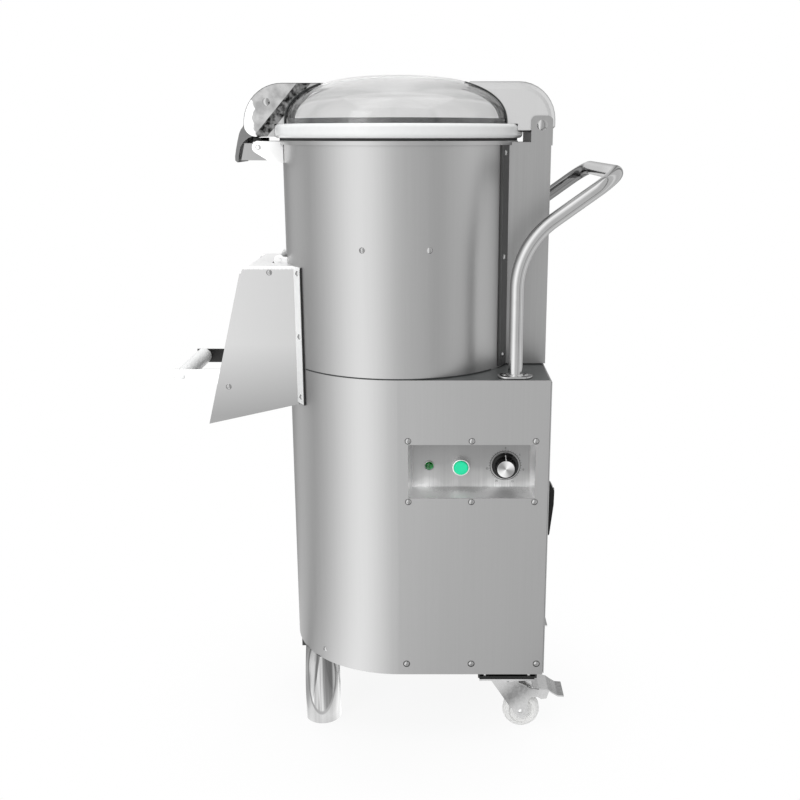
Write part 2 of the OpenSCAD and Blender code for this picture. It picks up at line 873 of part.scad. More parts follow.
module caster_brake() {
    last = len(pedal_points) - 1;
    slab(0, pedal_w) polygon(concat(pedal_points, [for (i = [last:-1:0]) pedal_points[i] - [0, pedal_t]]));
    both_sides() slab(fork_gauge - arm_t / 2 - gap, arm_t) difference() {
        polygon(brake_points);
        translate([pedal_pivot_x, pedal_pivot_z]) circle(r = pedal_pin_r, $fn = small);
    }
    translate([pedal_pivot_x, 0, pedal_pivot_z]) rotate([90, 0, 0])
        cylinder(r = pedal_pin_r, h = 2 * (fork_gauge + fork_t), center = true, $fn = small);
}

module front_caster() on_axis() translate([caster_x, -caster_y, 0]) children();

module rear_caster() on_axis() mirror([0, 1, 0]) translate([caster_x, -caster_y, 0]) children();

module caster_fork_front() color(zinc) front_caster() caster_fork();
module caster_fork_rear() color(zinc) rear_caster() caster_fork();
module caster_wheel_front() color(nylon) front_caster() caster_wheel();
module caster_wheel_rear() color(nylon) rear_caster() caster_wheel();
module caster_brake_front() color(zinc) front_caster() caster_brake();
module caster_brake_rear() color(zinc) rear_caster() caster_brake();

// Barrel
module outlet_cut(margin) {
    translate([-body_r - 2 * over, -outlet_w / 2 - margin, outlet_z - margin])
        cube([body_r, outlet_w + 2 * margin, outlet_h + 2 * margin]);
}

module barrel() color(steel) on_axis() difference() {
    union() {
        translate([0, 0, barrel_z]) tube(body_r, inner_r, rim_z - barrel_z);
        translate([0, 0, barrel_z]) cylinder(r = body_r, h = floor_t, $fn = fine);
        translate([0, 0, rim_z - rim_h]) tube(body_r + rim_w, inner_r, rim_h);
    }
    outlet_cut(0);
    translate([0, 0, barrel_z - over]) cylinder(r = seal_bore_r, h = floor_t + 2 * over, $fn = fine);
    translate([drain_x, drain_y, barrel_z - over])
        cylinder(r = hose_r - drain_t, h = floor_t + 2 * over, $fn = fine);
    rotate([0, 0, inlet_yaw]) translate([inner_r - over, 0, inlet_z]) rotate([0, 90, 0])
        cylinder(r = inlet_r + run, h = sheet_t + 2 * over, $fn = small);
    barrel_fixings() screw_hole();
    tower_fixings() screw_hole();
    hood_fixings() screw_hole();
}

module abrasive_liner() color(grit) on_axis() difference() {
    translate([0, 0, liner_z]) tube(liner_r, liner_r - liner_t, liner_top_z - liner_z);
    outlet_cut(gap);
}

module drain_pipe() color(steel) on_axis() difference() {
    union() {
        drain_run(drain_r, body_r);
        translate([drain_x, body_r + gap, drain_z]) rotate([-90, 0, 0])
            cylinder(r = spigot_collar_r, h = spigot_collar_t, $fn = fine);
        translate([drain_x, body_r, drain_z]) rotate([-90, 0, 0])
            cylinder(r = hose_r, h = rear_reach - body_r, $fn = fine);
    }
    drain_run(hose_r - drain_t, rear_reach + over);
    translate([drain_x, drain_y, barrel_z - over]) cylinder(r = hose_r - drain_t, h = 2 * over, $fn = fine);
}

module drain_run(r, end_y) {
    bend_z = drain_z + drain_bend_r;
    translate([drain_x, drain_y, bend_z]) cylinder(r = r, h = barrel_z - bend_z, $fn = fine);
    translate([drain_x, drain_y + drain_bend_r, bend_z]) rotate([0, 0, 90]) rotate([-90, 0, 0])
        rotate([0, 0, 90]) rotate_extrude(angle = 90, $fn = fine) translate([drain_bend_r, 0]) circle(r = r, $fn = fine);
    translate([drain_x, drain_y + drain_bend_r, drain_z]) rotate([-90, 0, 0])
        cylinder(r = r, h = end_y - drain_y - drain_bend_r, $fn = fine);
}

module water_inlet() color(bright_steel) on_axis() rotate([0, 0, inlet_yaw]) translate([0, 0, inlet_z])
    rotate([0, 90, 0]) difference() {
        union() {
            translate([0, 0, inner_r - over]) cylinder(r = inlet_r, h = rear_reach - inner_r + over, $fn = small);
            translate([0, 0, body_r + gap]) cylinder(r = inlet_nut_r, h = sheet_t * 2, $fn = 6);
        }
        translate([0, 0, inner_r - 2 * over]) cylinder(r = inlet_bore_r, h = rear_reach, $fn = small);
    }

module cable_gland() color(black) on_axis() translate([gland_x, 0, gland_z]) rotate([-90, 0, 0]) difference() {
    union() {
        translate([0, 0, inner_r - over]) cylinder(r = gland_r, h = rear_reach - inner_r + over, $fn = small);
        translate([0, 0, body_r]) cylinder(r = gland_nut_r, h = sheet_t * 2, $fn = 6);
        translate([0, 0, inner_r - sheet_t * 2]) cylinder(r = gland_nut_r, h = sheet_t * 2, $fn = 6);
    }
    translate([0, 0, inner_r - 2 * over]) cylinder(r = gland_bore_r, h = rear_reach, $fn = small);
}

// Drive
module bearing_housing() color(cast_grey) on_axis() difference() {
    top_z = deck_z - deck_t;
    union() {
        translate([0, 0, housing_z]) cylinder(r = housing_r, h = top_z - housing_z, $fn = fine);
        translate([0, 0, top_z - housing_flange_t]) cylinder(r = housing_flange_r, h = housing_flange_t, $fn = fine);
    }
    translate([0, 0, housing_z - over]) cylinder(r = spacer_r, h = top_z - housing_z + 2 * over, $fn = fine);
    for (z = [bearing_low_z, bearing_top_z])
        translate([0, 0, z]) cylinder(r = bearing_r + run, h = bearing_w, $fn = fine);
}

module spindle_bearings() color(bright_steel) on_axis()
    for (z = [bearing_low_z, bearing_top_z]) translate([0, 0, z]) tube(bearing_r, shaft_r + run, bearing_w);

module shaft_seal() color(black) on_axis() translate([0, 0, deck_z - deck_t - seal_h + gap])
    tube(spacer_r - run, shaft_r + run, seal_h + deck_t + floor_t + sheet_t);

module abrasive_disc() color(grit) on_axis() difference() {
    union() {
        translate([0, 0, disc_z]) cylinder(r = disc_r, h = disc_t, $fn = fine);
        translate([0, 0, disc_z]) cylinder(r = disc_hub_r, h = disc_hub_h, $fn = fine);
        intersection() {
            translate([0, 0, disc_z + disc_t]) for (i = [0:wave_count - 1]) rotate([0, 0, i * 360 / wave_count])
                translate([disc_hub_r - over, 0, 0]) rotate([0, 90, 0])
                    cylinder(r = wave_r, h = disc_r - disc_hub_r, $fn = small);
            translate([0, 0, disc_z]) cylinder(r = disc_r, h = disc_t + wave_r, $fn = fine);
        }
    }
    translate([0, 0, disc_z - over]) cylinder(r = shaft_r + run, h = disc_hub_h + 2 * over, $fn = fine);
}

module spindle_shaft() color(bright_steel) on_axis() {
    translate([0, 0, shaft_bottom_z]) cylinder(r = shaft_r, h = shaft_top_z - shaft_bottom_z, $fn = fine);
    translate([0, 0, disc_z + disc_hub_h]) cylinder(r = disc_hub_r - over, h = shaft_top_z - disc_z - disc_hub_h, $fn = 6);
    translate([0, 0, shaft_bottom_z]) cylinder(r = shaft_r + over, h = pulley_z - shaft_bottom_z, $fn = 6);
}

module pulley(r, bore) rotate_extrude($fn = fine) polygon([[bore, 0], [r, 0], [r, pulley_w / 2 - belt_w / 2 - groove_flare],
    [r - groove_depth, pulley_w / 2 - belt_w / 2 - groove_gap],
    [r - groove_depth, pulley_w / 2 + belt_w / 2 + groove_gap],
    [r, pulley_w / 2 + belt_w / 2 + groove_flare], [r, pulley_w], [bore, pulley_w]]);

module large_pulley() color(cast_grey) on_axis() translate([0, 0, pulley_z]) difference() {
    pulley(big_r, shaft_r + run);
    for (i = [1:spoke_count]) rotate([0, 0, i * 360 / spoke_count]) translate([big_r * spoke_share, 0, -over])
        cylinder(r = big_r * spoke_r_share, h = pulley_w + 2 * over, $fn = small);
}

module motor_pulley() color(cast_grey) on_axis() translate([motor_x, motor_y, pulley_z])
    pulley(small_r, motor_shaft_r + run);

module motor_shaft() color(bright_steel) on_axis()
    translate([motor_x, motor_y, shelf_z - shelf_t - motor_bore_h + over])
        cylinder(r = motor_shaft_r, h = pulley_z + pulley_w - shelf_z + shelf_t + motor_bore_h - over, $fn = fine);

// The loop round both pulleys at the pitch line, moved outwards by out
module belt_loop(out) {
    span = norm([motor_x, motor_y]);
    lean = acos((big_pitch_r - small_pitch_r) / span);
    a = big_pitch_r + out;
    b = small_pitch_r + out;
    rotate(atan2(motor_y, motor_x)) {
        circle(r = a, $fn = fine);
        translate([span, 0]) circle(r = b, $fn = fine);
        polygon([[a * cos(lean), a * sin(lean)], [span + b * cos(lean), b * sin(lean)],
            [span + b * cos(lean), -b * sin(lean)], [a * cos(lean), -a * sin(lean)]]);
    }
}

module v_belt() color(black) on_axis() translate([0, 0, pulley_z + (pulley_w - belt_w) / 2])
    linear_extrude(belt_w) difference() {
        belt_loop(belt_t / 2);
        belt_loop(-belt_t / 2);
    }

module motor_plan() {
    circle(r = motor_r - motor_fin_h, $fn = fine);
    for (i = [0:motor_fins - 1]) rotate(i * 360 / motor_fins)
        translate([0, -motor_fin_t / 2]) square([motor_r, motor_fin_t]);
}

module motor_body() color(cast_grey) on_axis() translate([motor_x, motor_y, shelf_z - shelf_t]) difference() {
    union() {
        translate([0, 0, -motor_flange_t]) cylinder(r = motor_flange_r, h = motor_flange_t, $fn = fine);
        translate([0, 0, -motor_h]) linear_extrude(motor_h - motor_flange_t) motor_plan();
        translate([0, 0, -motor_h - cowl_h]) cylinder(r = motor_r - edge, h = cowl_h, $fn = fine);
        translate([-terminal_w / 2, 0, -terminal_z]) cube([terminal_w, motor_r + terminal_d - motor_fin_h, terminal_w]);
    }
    translate([0, 0, -motor_bore_h]) cylinder(r = motor_shaft_r + run, h = motor_bore_h + over, $fn = fine);
}

// Control panel
module control_tray() color(steel) on_axis() difference() {
    union() {
        translate([recess_x - tray_lip, front_y + sheet_t + run, recess_low_z - 2 * tray_lip + run])
            cube([recess_w + 2 * tray_lip, tray_t, recess_h + 4 * tray_lip]);
        tray_form(tray_t);
    }
    tray_form(0);
    panel_hole(lamp_x, lamp_hole_r + run);
    panel_hole(button_x, bezel_hole_r + run);
    panel_hole(knob_x, timer_bush_r + run);
    cabinet_fixings() screw_hole();
}

// The tapered well of the tray, grown by t on all sides but the front
module tray_form(t) {
    mouth_y = t == 0 ? front_y - over : front_y + sheet_t + run;
    hull() {
        translate([recess_x - t, mouth_y, recess_low_z - t]) cube([recess_w + 2 * t, slice_t, recess_h + 2 * t]);
        translate([recess_x - t, front_y + sheet_t + run, recess_low_z - t])
            cube([recess_w + 2 * t, slice_t, recess_h + 2 * t]);
        translate([recess_x + tray_slope_x - t, tray_y + t - slice_t, recess_low_z + tray_slope_low - t])
            cube([recess_w - 2 * tray_slope_x + 2 * t, slice_t,
                recess_h - tray_slope_low - tray_slope_top + 2 * t]);
    }
}

module panel_hole(x, r) translate([x, tray_y - over, panel_z]) rotate([-90, 0, 0])
    cylinder(r = r, h = tray_t + 2 * over, $fn = fine);

module on_panel(x) on_axis() translate([x, tray_y, panel_z]) rotate([90, 0, 0]) children();

module pilot_lamp() color(green) on_panel(lamp_x) {
    cylinder(r = lamp_bezel_r, h = lamp_h / 3, $fn = fine);
    translate([0, 0, lamp_h / 3]) dome_head(lamp_r, lamp_h);
    translate([0, 0, -lamp_tail]) cylinder(r = lamp_hole_r, h = lamp_tail, $fn = fine);
}

module button_bezel() color(bright_steel) on_panel(button_x) {
    difference() {
        union() {
            cylinder(r = bezel_d / 2, h = bezel_h, $fn = fine);
            translate([0, 0, -tray_t - over]) cylinder(r = bezel_hole_r, h = tray_t + over, $fn = fine);
        }
        translate([0, 0, bezel_h - button_depth - button_travel])
            cylinder(r = button_r + run, h = button_depth + button_travel + over, $fn = fine);
    }
    translate([-block_w / 2, -block_w / 2, -tray_t - over - block_d]) cube([block_w, block_w, block_d]);
}

module start_button() color(green) on_panel(button_x)
    translate([0, 0, bezel_h - button_depth + run]) cylinder(r = button_r, h = button_depth + button_proud, $fn = fine);

module timer_body() color(black) on_panel(knob_x) {
    translate([-timer_w / 2, -timer_w / 2, -tray_t - timer_d]) cube([timer_w, timer_w, timer_d]);
    translate([0, 0, -tray_t]) cylinder(r = timer_bush_r, h = tray_t + knob_gap / 2, $fn = fine);
    translate([0, 0, -tray_t]) cylinder(r = timer_shaft_r, h = tray_t + knob_gap + knob_h / 2, $fn = fine);
}

module timer_knob() color(black) on_panel(knob_x) translate([0, 0, knob_gap]) difference() {
    rotate_extrude($fn = fine) polygon([[0, 0], [knob_r, 0], [knob_r, knob_skirt_h - edge], [knob_r - edge, knob_skirt_h],
        [knob_body_r + edge, knob_skirt_h + edge], [knob_top_r + edge, knob_h - edge], [knob_top_r, knob_h], [0, knob_h]]);
    translate([0, 0, -over]) cylinder(r = timer_shaft_r + run, h = knob_h / 2 + over + gap, $fn = fine);
}

module knob_cap() color(bright_steel) on_panel(knob_x) translate([0, 0, knob_gap + knob_h])
    cylinder(r = knob_top_r - gap, h = cap_t, $fn = fine);

// Tower with the lid's hinge ears
module tower_side() {
    translate([tower_x, tower_z]) square([tower_right_x - tower_x, tower_top_z - tower_z]);
    translate([ear_x, tower_top_z - over]) square([tower_right_x + sheet_t - ear_x, ear_top_z - ear_r - tower_top_z + over]);
    translate([ear_x + ear_r, tower_top_z]) square([tower_right_x + sheet_t - ear_x - 2 * ear_r, ear_top_z - tower_top_z]);
    for (x = [ear_x + ear_r, tower_right_x + sheet_t - ear_r])
        translate([x, ear_top_z - ear_r]) circle(r = ear_r, $fn = small);
}

module hinge_tower() color(steel) on_axis() difference() {
    union() {
        both_sides() {
            slab((sheet_t - tower_w) / 2, sheet_t) tower_side();
            ring_sector(body_r + gap, sheet_t, tower_z, tower_top_z - tower_z - over,
                -(tower_yaw + tower_spread / 2), tower_spread);
        }
        translate([tower_right_x - sheet_t, sheet_t - tower_w / 2, tower_z])
            cube([sheet_t, tower_w - 2 * sheet_t, tower_back_z - tower_z]);
        for (z = [tower_z, tower_top_z - sheet_t]) translate([tower_x, sheet_t - tower_w / 2, z])
            cube([tower_right_x - tower_x, tower_w - 2 * sheet_t, sheet_t]);
    }
    translate([0, 0, deck_z]) cylinder(r = body_r + gap, h = rim_z - deck_z, $fn = fine);
    translate([0, 0, rim_z - rim_h - gap]) cylinder(r = body_r + rim_w + gap, h = rim_h + over, $fn = fine);
    translate([lid_hinge_x, 0, hinge_z]) rotate([90, 0, 0])
        cylinder(r = hinge_pin_r + run, h = 2 * tower_w, center = true, $fn = fine);
    tower_fixings() screw_hole();
}

module lid_hinge_pin() color(bright_steel) on_axis() {
    translate([lid_hinge_x, 0, hinge_z]) rotate([90, 0, 0])
        cylinder(r = hinge_pin_r, h = tower_w, center = true, $fn = fine);
    both_sides() translate([lid_hinge_x, -tower_w / 2, hinge_z]) rotate([90, 0, 0])
        dome_head(hinge_head_r, hinge_head_h);
}

// Push handle
// One half of the bent tube: straight runs and bends, with a spigot inside each joint between them
module handle_half() {
    slope_l = handle_slope_run / sin(handle_bend) - handle_corner_r;
    translate([handle_x, -handle_y, deck_z]) {
        handle_run(handle_bend_z - deck_z);
        translate([0, 0, handle_bend_z - deck_z]) handle_spigot();
    }
    translate([handle_x + handle_bend_r, -handle_y, handle_bend_z]) rotate([90, 0, 0])
        rotate([0, 0, 180 - handle_bend]) rotate_extrude(angle = handle_bend, $fn = fine)
            translate([handle_bend_r, 0]) handle_section();
    translate([handle_bar_x - handle_slope_run, -handle_y, handle_bend_z + handle_bend_r * sin(handle_bend)])
        rotate([0, handle_bend, 0]) {
            translate([0, 0, handle_seam]) handle_run(slope_l - handle_seam);
            for (z = [0, slope_l]) translate([0, 0, z]) handle_spigot();
            translate([0, handle_corner_r, slope_l]) rotate([90, 0, 90]) rotate([0, 0, 90])
                rotate_extrude(angle = 90, $fn = fine) translate([handle_corner_r, 0]) handle_section();
            translate([0, handle_corner_r, slope_l + handle_corner_r]) rotate([90, 0, 0]) handle_spigot();
        }
}

module handle_section() difference() {
    circle(r = handle_r, $fn = fine);
    circle(r = handle_r - handle_t, $fn = fine);
}

module handle_run(l) tube(handle_r, handle_r - handle_t, l - handle_seam);

module handle_spigot() translate([0, 0, -spigot_l / 2])
    tube(handle_r - handle_t / 2, handle_r - 2 * handle_t, spigot_l);

module handle_bolt_places() both_sides() for (s = [-1, 1])
    translate([handle_x + s * handle_bolt_x, -handle_y, deck_z]) children();

module push_handle() color(bright_steel) on_axis() {
    bar_l = 2 * (handle_y - handle_corner_r - handle_seam);
    both_sides() {
        handle_half();
        handle_foot();
    }
    translate([handle_bar_x, bar_l / 2, handle_bar_z]) rotate([90, 0, 0]) tube(handle_r, handle_r - handle_t, bar_l);
}

module handle_foot() difference() {
    union() {
        for (s = [-1, 1]) translate([handle_x + s * (handle_foot_w - handle_foot_d) / 2, -handle_y, deck_z])
            cylinder(r = handle_foot_d / 2, h = handle_foot_t, $fn = fine);
        translate([handle_x - handle_foot_w / 2 + handle_foot_d / 2, -handle_y - handle_foot_d / 2, deck_z])
            cube([handle_foot_w - handle_foot_d, handle_foot_d, handle_foot_t]);
    }
    translate([handle_x, -handle_y, deck_z - over])
        cylinder(r = handle_r - handle_t / 2, h = handle_foot_t + 2 * over, $fn = fine);
    for (s = [-1, 1]) translate([handle_x + s * handle_bolt_x, -handle_y, deck_z - over])
        cylinder(r = screw_r + run, h = handle_foot_t + 2 * over, $fn = small);
}

module handle_bolts() color(bright_steel) on_axis() handle_bolt_places() {
    translate([0, 0, handle_foot_t]) dome_screw(handle_foot_t + bolt_l);
}

// Discharge hood and its flap
module hood_side() {
    top_x = -hood_top_reach;
    difference() {
        polygon([[-body_r * root_share, hood_foot_z], [-hood_reach, hood_foot_z - hood_tip_drop],
            [top_x, hood_top_z], [-body_r * root_share, hood_top_z]]);
        translate([top_x - over, hood_top_z - hood_corner_r]) square([hood_corner_r + over, hood_corner_r + over]);
    }
    translate([top_x + hood_corner_r, hood_top_z - hood_corner_r]) circle(r = hood_corner_r, $fn = small);
}

module discharge_hood() color(pale_steel) on_axis() difference() {
    lean_share = (hood_reach - hood_top_reach) / (hood_top_z - hood_foot_z + hood_tip_drop);
    union() {
        both_sides() {
            slab((sheet_t - hood_w) / 2, sheet_t) hood_side();
            ring_sector(body_r + gap, sheet_t, hood_foot_z, hood_top_z - hood_foot_z,
                180 + hood_yaw + hood_spread / 2, hood_spread);
            translate([stop_x, -hood_y + sheet_t / 2, arm_z - stop_r - gap]) rotate([-90, 0, 0])
                cylinder(r = stop_r, h = hood_y - flap_w / 2 - sheet_t / 2, $fn = small);
        }
        translate([hood_corner_r - hood_top_reach, sheet_t - hood_y, hood_top_z - sheet_t])
            cube([hood_top_reach - hood_corner_r - body_r * root_share, hood_w - 2 * sheet_t, sheet_t]);
        slab(0, hood_w - 2 * sheet_t) polygon([[hood_corner_r - hood_top_reach, hood_top_z],
            [hood_corner_r - hood_top_reach, hood_top_z - sheet_t],
            [sheet_t - hood_top_reach - (apron_h - hood_corner_r) * lean_share, hood_top_z - apron_h],
            [-hood_top_reach - (apron_h - hood_corner_r) * lean_share, hood_top_z - apron_h],
            [-hood_top_reach, hood_top_z - hood_corner_r]]);
    }
    translate([0, 0, hood_foot_z - hood_tip_drop - over])
        cylinder(r = body_r + gap, h = hood_top_z - hood_foot_z + hood_tip_drop + 2 * over, $fn = fine);
    translate([flap_axis_x - 2 * knuckle_r, -hood_notch_w / 2, hood_top_z - sheet_t - over])
        cube([body_r, hood_notch_w, sheet_t + 2 * over]);
    hood_fixings() screw_hole();
    hood_plate_fixings() screw_hole();
}

module flap_hinge() color(bright_steel) on_axis() {
    difference() {
        both_sides() slab(-eye_y, eye_t) {
            translate([flap_axis_x, flap_axis_z]) circle(r = eye_r, $fn = fine);
            translate([flap_axis_x, flap_axis_z - eye_r * eye_neck_share])
                square([2 * eye_r, 2 * eye_r * eye_neck_share]);
        }
        translate([0, 0, flap_axis_z - 2 * eye_r]) cylinder(r = body_r + run, h = 4 * eye_r, $fn = fine);
        flap_bore(flap_pin_r + run);
    }
    flap_bore_span(flap_pin_r, 2 * eye_y + 2 * eye_t);
}

module flap_bore_span(r, l) translate([flap_axis_x, 0, flap_axis_z]) rotate([90, 0, 0])
    cylinder(r = r, h = l, center = true, $fn = fine);

module flap_bore(r) flap_bore_span(r, 4 * eye_y);

// A piece of the curved wall of the flap, of a width along Y
module curved_plate(r, t, w, z, h) intersection() {
    translate([0, 0, z]) tube(r + t, r, h);
    translate([-2 * body_r, -w / 2, z - over]) cube([2 * body_r, w, h + 2 * over]);
}

module discharge_flap() color(steel) on_axis() difference() {
    union() {
        curved_plate(flap_r, sheet_t, flap_w, arm_z - edge, flap_top_z - arm_z + edge);
        curved_plate(flap_r, sheet_t, tongue_w, flap_top_z - over, flap_axis_z - flap_top_z + over);
        flap_bore_span(knuckle_r, 2 * eye_y - eye_t - 2 * gap);
    }
    flap_bore(flap_pin_r + run);
}

module flap_seal() color(black) on_axis() difference() {
    curved_plate(body_r + gap, seal_t, outlet_w + 2 * seal_border, outlet_z - seal_border,
        min(outlet_h + 2 * seal_border, flap_top_z - outlet_z + seal_border));
    translate([-2 * body_r, -outlet_w / 2, outlet_z]) cube([2 * body_r, outlet_w, outlet_h]);
}

module flap_arms() color(bright_steel) on_axis() difference() {
    both_sides() translate([-arm_reach, -flap_w / 2 - arm_w, arm_z])
        cube([arm_reach - sqrt(pow(flap_r, 2) - pow(flap_w / 2, 2)), arm_w, arm_h]);
    translate([grip_x, 0, grip_z]) rotate([90, 0, 0])
        cylinder(r = spigot_r + run, h = 2 * flap_w, center = true, $fn = small);
}

module flap_grip() color(bright_steel) on_axis() translate([grip_x, 0, grip_z]) rotate([90, 0, 0]) {
    cylinder(r = grip_d / 2, h = flap_w, center = true, $fn = fine);
    cylinder(r = spigot_r, h = flap_w + 2 * arm_w, center = true, $fn = small);
    for (s = [0, 1]) mirror([0, 0, s]) translate([0, 0, flap_w / 2 + arm_w]) dome_head(spigot_r * rivet_share, sheet_t);
}

// Lid
function dome_profile(r, h) = [for (i = [0:dome_steps])
    let (a = 90 * i / dome_steps, p = 2 / dome_power)
    [r * pow(cos(a), p), h * pow(sin(a), p)]];

// The solid under the dome's surface grown by out, from the foot upwards
module dome_solid(out) translate([0, 0, dome_z]) rotate_extrude($fn = fine)
    polygon(concat([[0, -dome_foot], [dome_r + out, -dome_foot]], dome_profile(dome_r + out, dome_h + out)));

module lid_dome() color(clear) on_axis() difference() {
    dome_solid(0);
    translate([0, 0, dome_z]) rotate_extrude($fn = fine) polygon(concat([[0, -dome_foot - over],
        [dome_r - dome_t, -dome_foot - over]], dome_profile(dome_r - dome_t, dome_h - dome_t)));
}

module lid_ring() color(nylon) on_axis() translate([0, 0, lid_z]) rotate_extrude($fn = fine) difference() {
    polygon(concat([[ring_inner_r, 0], [ring_r - ring_round, 0]],
        [for (a = [-75:15:0]) [ring_r - ring_round + ring_round * cos(a), ring_round + ring_round * sin(a)]],
        [for (a = [0:15:75]) [ring_r - ring_round + ring_round * cos(a), ring_h - ring_round + ring_round * sin(a)]],
        [[ring_r - ring_round, ring_h], [ring_inner_r, ring_h]]));
    translate([dome_r - dome_t - gap, dome_z - dome_foot - lid_z]) square([dome_t + 2 * gap, ring_h]);
}

module lid_seal() color(black) on_axis() translate([0, 0, rim_z + gap])
    tube(seal_out_r, seal_out_r - seal_w, lid_z - rim_z - gap);

module lid_clearance() {
    dome_solid(gap);
    translate([0, 0, lid_z - over]) cylinder(r = ring_r + gap, h = ring_top_z - lid_z + over + gap, $fn = fine);
}

module handle_outline(inset) {
    arc_r = handle_arc_r - inset;
    low_r = handle_low_r - inset;
    polygon(concat([[-body_r * cover_root_share, handle_top_z - inset]],
        [for (a = [90:7.5:180]) [handle_arc_x + arc_r * cos(a), handle_top_z - handle_arc_r + arc_r * sin(a)]],
        [for (a = [187.5:7.5:270]) [handle_low_x + low_r * cos(a), handle_low_z + handle_low_r + low_r * sin(a)]],
        [[-body_r * cover_root_share, handle_low_z + inset]]));
}

// The cut that the lever's lip moves in, and the higher cuts of its two arms
module handle_slot(rise) translate([handle_low_x - handle_low_r - over, handle_low_z - over])
    square([handle_low_r + 3 * over, slot_z + rise - handle_low_z + over]);

module lid_handle() color(bright_steel) on_axis() difference() {
    slab(0, lid_handle_w) handle_outline(0);
    slab(0, lid_handle_w - 2 * box_t) handle_outline(box_t);
    lid_clearance();
    translate([latch_x, 0, latch_z]) rotate([90, 0, 0])
        cylinder(r = latch_pin_r + run, h = 2 * lid_handle_w, center = true, $fn = small);
    slab(0, lid_handle_w - 2 * box_t) handle_slot(0);
    both_sides() slab((lever_w - arm_t) / 2, arm_t + 2 * gap) handle_slot(slot_notch_h);
}

module cover_outline(inset) {
    arc_r = cover_arc_r - inset;
    arc_x = cover_right_x - cover_arc_r;
    low_inset = inset * cover_low_share;
    polygon(concat([[body_r * cover_root_share, cover_low_z + low_inset], [cover_right_x - cover_corner - inset, cover_low_z + low_inset],
        [cover_right_x - inset, cover_low_z + cover_corner]],
        [for (a = [0:10:90]) [arc_x + arc_r * cos(a), cover_top_z - cover_arc_r + arc_r * sin(a)]],
        [[body_r * cover_root_share, cover_top_z - inset]]));
}

module lid_hinge_cover() color(pale_steel) on_axis() {
    difference() {
        hull() both_sides() for (a = cover_steps)
            slab(cover_w / 2 - cover_round * (1 - sin(a)) - cover_slice_t / 2, cover_slice_t)
                cover_outline(cover_round * (1 - cos(a)));
        slab(0, cover_w - 2 * sheet_t) cover_outline(cover_round * cover_hollow_share);
        lid_clearance();
        hinge_bore();
    }
    difference() {
        translate([lid_hinge_x, 0, hinge_z]) rotate([90, 0, 0])
            cylinder(r = boss_r, h = cover_w - sheet_t, center = true, $fn = fine);
        hinge_bore();
    }
}

module hinge_bore() translate([lid_hinge_x, 0, hinge_z]) rotate([90, 0, 0])
    cylinder(r = hinge_pin_r + run, h = 2 * tower_w, center = true, $fn = fine);

module edge_trims() color(black) on_axis() difference() {
    intersection() {
        dome_solid(trim_t);
        union() {
            both_sides() translate([-body_r - trim_t, lid_handle_w / 2 + gap, ring_top_z + gap])
                cube([body_r * trim_share + trim_t, trim_w, handle_top_z - ring_top_z - gap]);
            both_sides() translate([body_r * (1 - trim_share), cover_w / 2 + gap, ring_top_z + gap])
                cube([body_r * trim_share + trim_t, trim_w, cover_top_z - ring_top_z - gap]);
        }
    }
    dome_solid(gap);
}

module lid_pins() color(bright_steel) on_axis() translate([latch_x, 0, latch_z]) rotate([90, 0, 0]) {
    cylinder(r = latch_pin_r, h = lid_handle_w, center = true, $fn = small);
    for (s = [0, 1]) mirror([0, 0, s]) translate([0, 0, lid_handle_w / 2]) dome_head(latch_pin_r * 1.5, screw_head_h);
}

// Latch
module latch_lever() color(steel) on_axis() difference() {
    lip_path = concat([for (a = lip_steps) [handle_arc_x + handle_arc_r * cos(a),
        handle_top_z - handle_arc_r + handle_arc_r * sin(a)]], [for (p = lip_points) [p[0] - body_r, rim_z + p[1]]]);
    last = len(lip_path) - 1;
    union() {
        slab(0, lever_w) polygon(concat(lip_path, [for (i = [last:-1:0]) lip_path[i] + [lip_t, 0]]));
        both_sides() slab((lever_w - arm_t) / 2, arm_t) {
            polygon(concat(lip_path, [for (p = lever_points) [p[0] - body_r, rim_z + p[1]]]));
            translate([latch_x, latch_z]) circle(r = lever_boss_r, $fn = small);
        }
    }
    translate([latch_x, 0, latch_z]) rotate([90, 0, 0])
        cylinder(r = latch_pin_r + run, h = 2 * lever_w, center = true, $fn = small);
}

module latch_keeper() color(bright_steel) on_axis() {
    difference() {
        union() {
            both_sides() slab((keeper_t - keeper_w) / 2, keeper_t) {
                polygon([[lug_x + lug_r * 0.3, lug_z + lug_r * 0.95], [keeper_left_x, keeper_top_z],
                    [-body_r * root_share, keeper_top_z], [-body_r * root_share, keeper_low_z],
                    [keeper_left_x, keeper_low_z], [lug_x - lug_r * 0.5, lug_z - lug_r * 0.86]]);
                translate([lug_x, lug_z]) circle(r = lug_r, $fn = small);
            }
            slab(0, keeper_w - 4 * keeper_t) polygon([[strike_x, keeper_top_z], [-body_r * root_share, keeper_top_z],
                [-body_r * root_share, keeper_low_z], [strike_x - strike_lean, keeper_low_z]]);
            translate([lug_x, 0, lug_z]) rotate([90, 0, 0])
                cylinder(r = keeper_pin_r, h = keeper_w + 2 * keeper_t, center = true, $fn = small);
        }
        translate([0, 0, keeper_low_z - over]) cylinder(r = body_r + gap, h = rim_z - keeper_low_z, $fn = fine);
        translate([0, 0, rim_z - rim_h - gap]) cylinder(r = body_r + rim_w + gap, h = rim_h + over, $fn = fine);
        slab(0, keeper_w - 6 * keeper_t) polygon([[strike_x + keeper_t, keeper_top_z - keeper_t],
            [-body_r * root_share, keeper_top_z - keeper_t],
            [-body_r * root_share, keeper_low_z - over], [strike_x - strike_lean + keeper_t, keeper_low_z - over]]);
    }
}

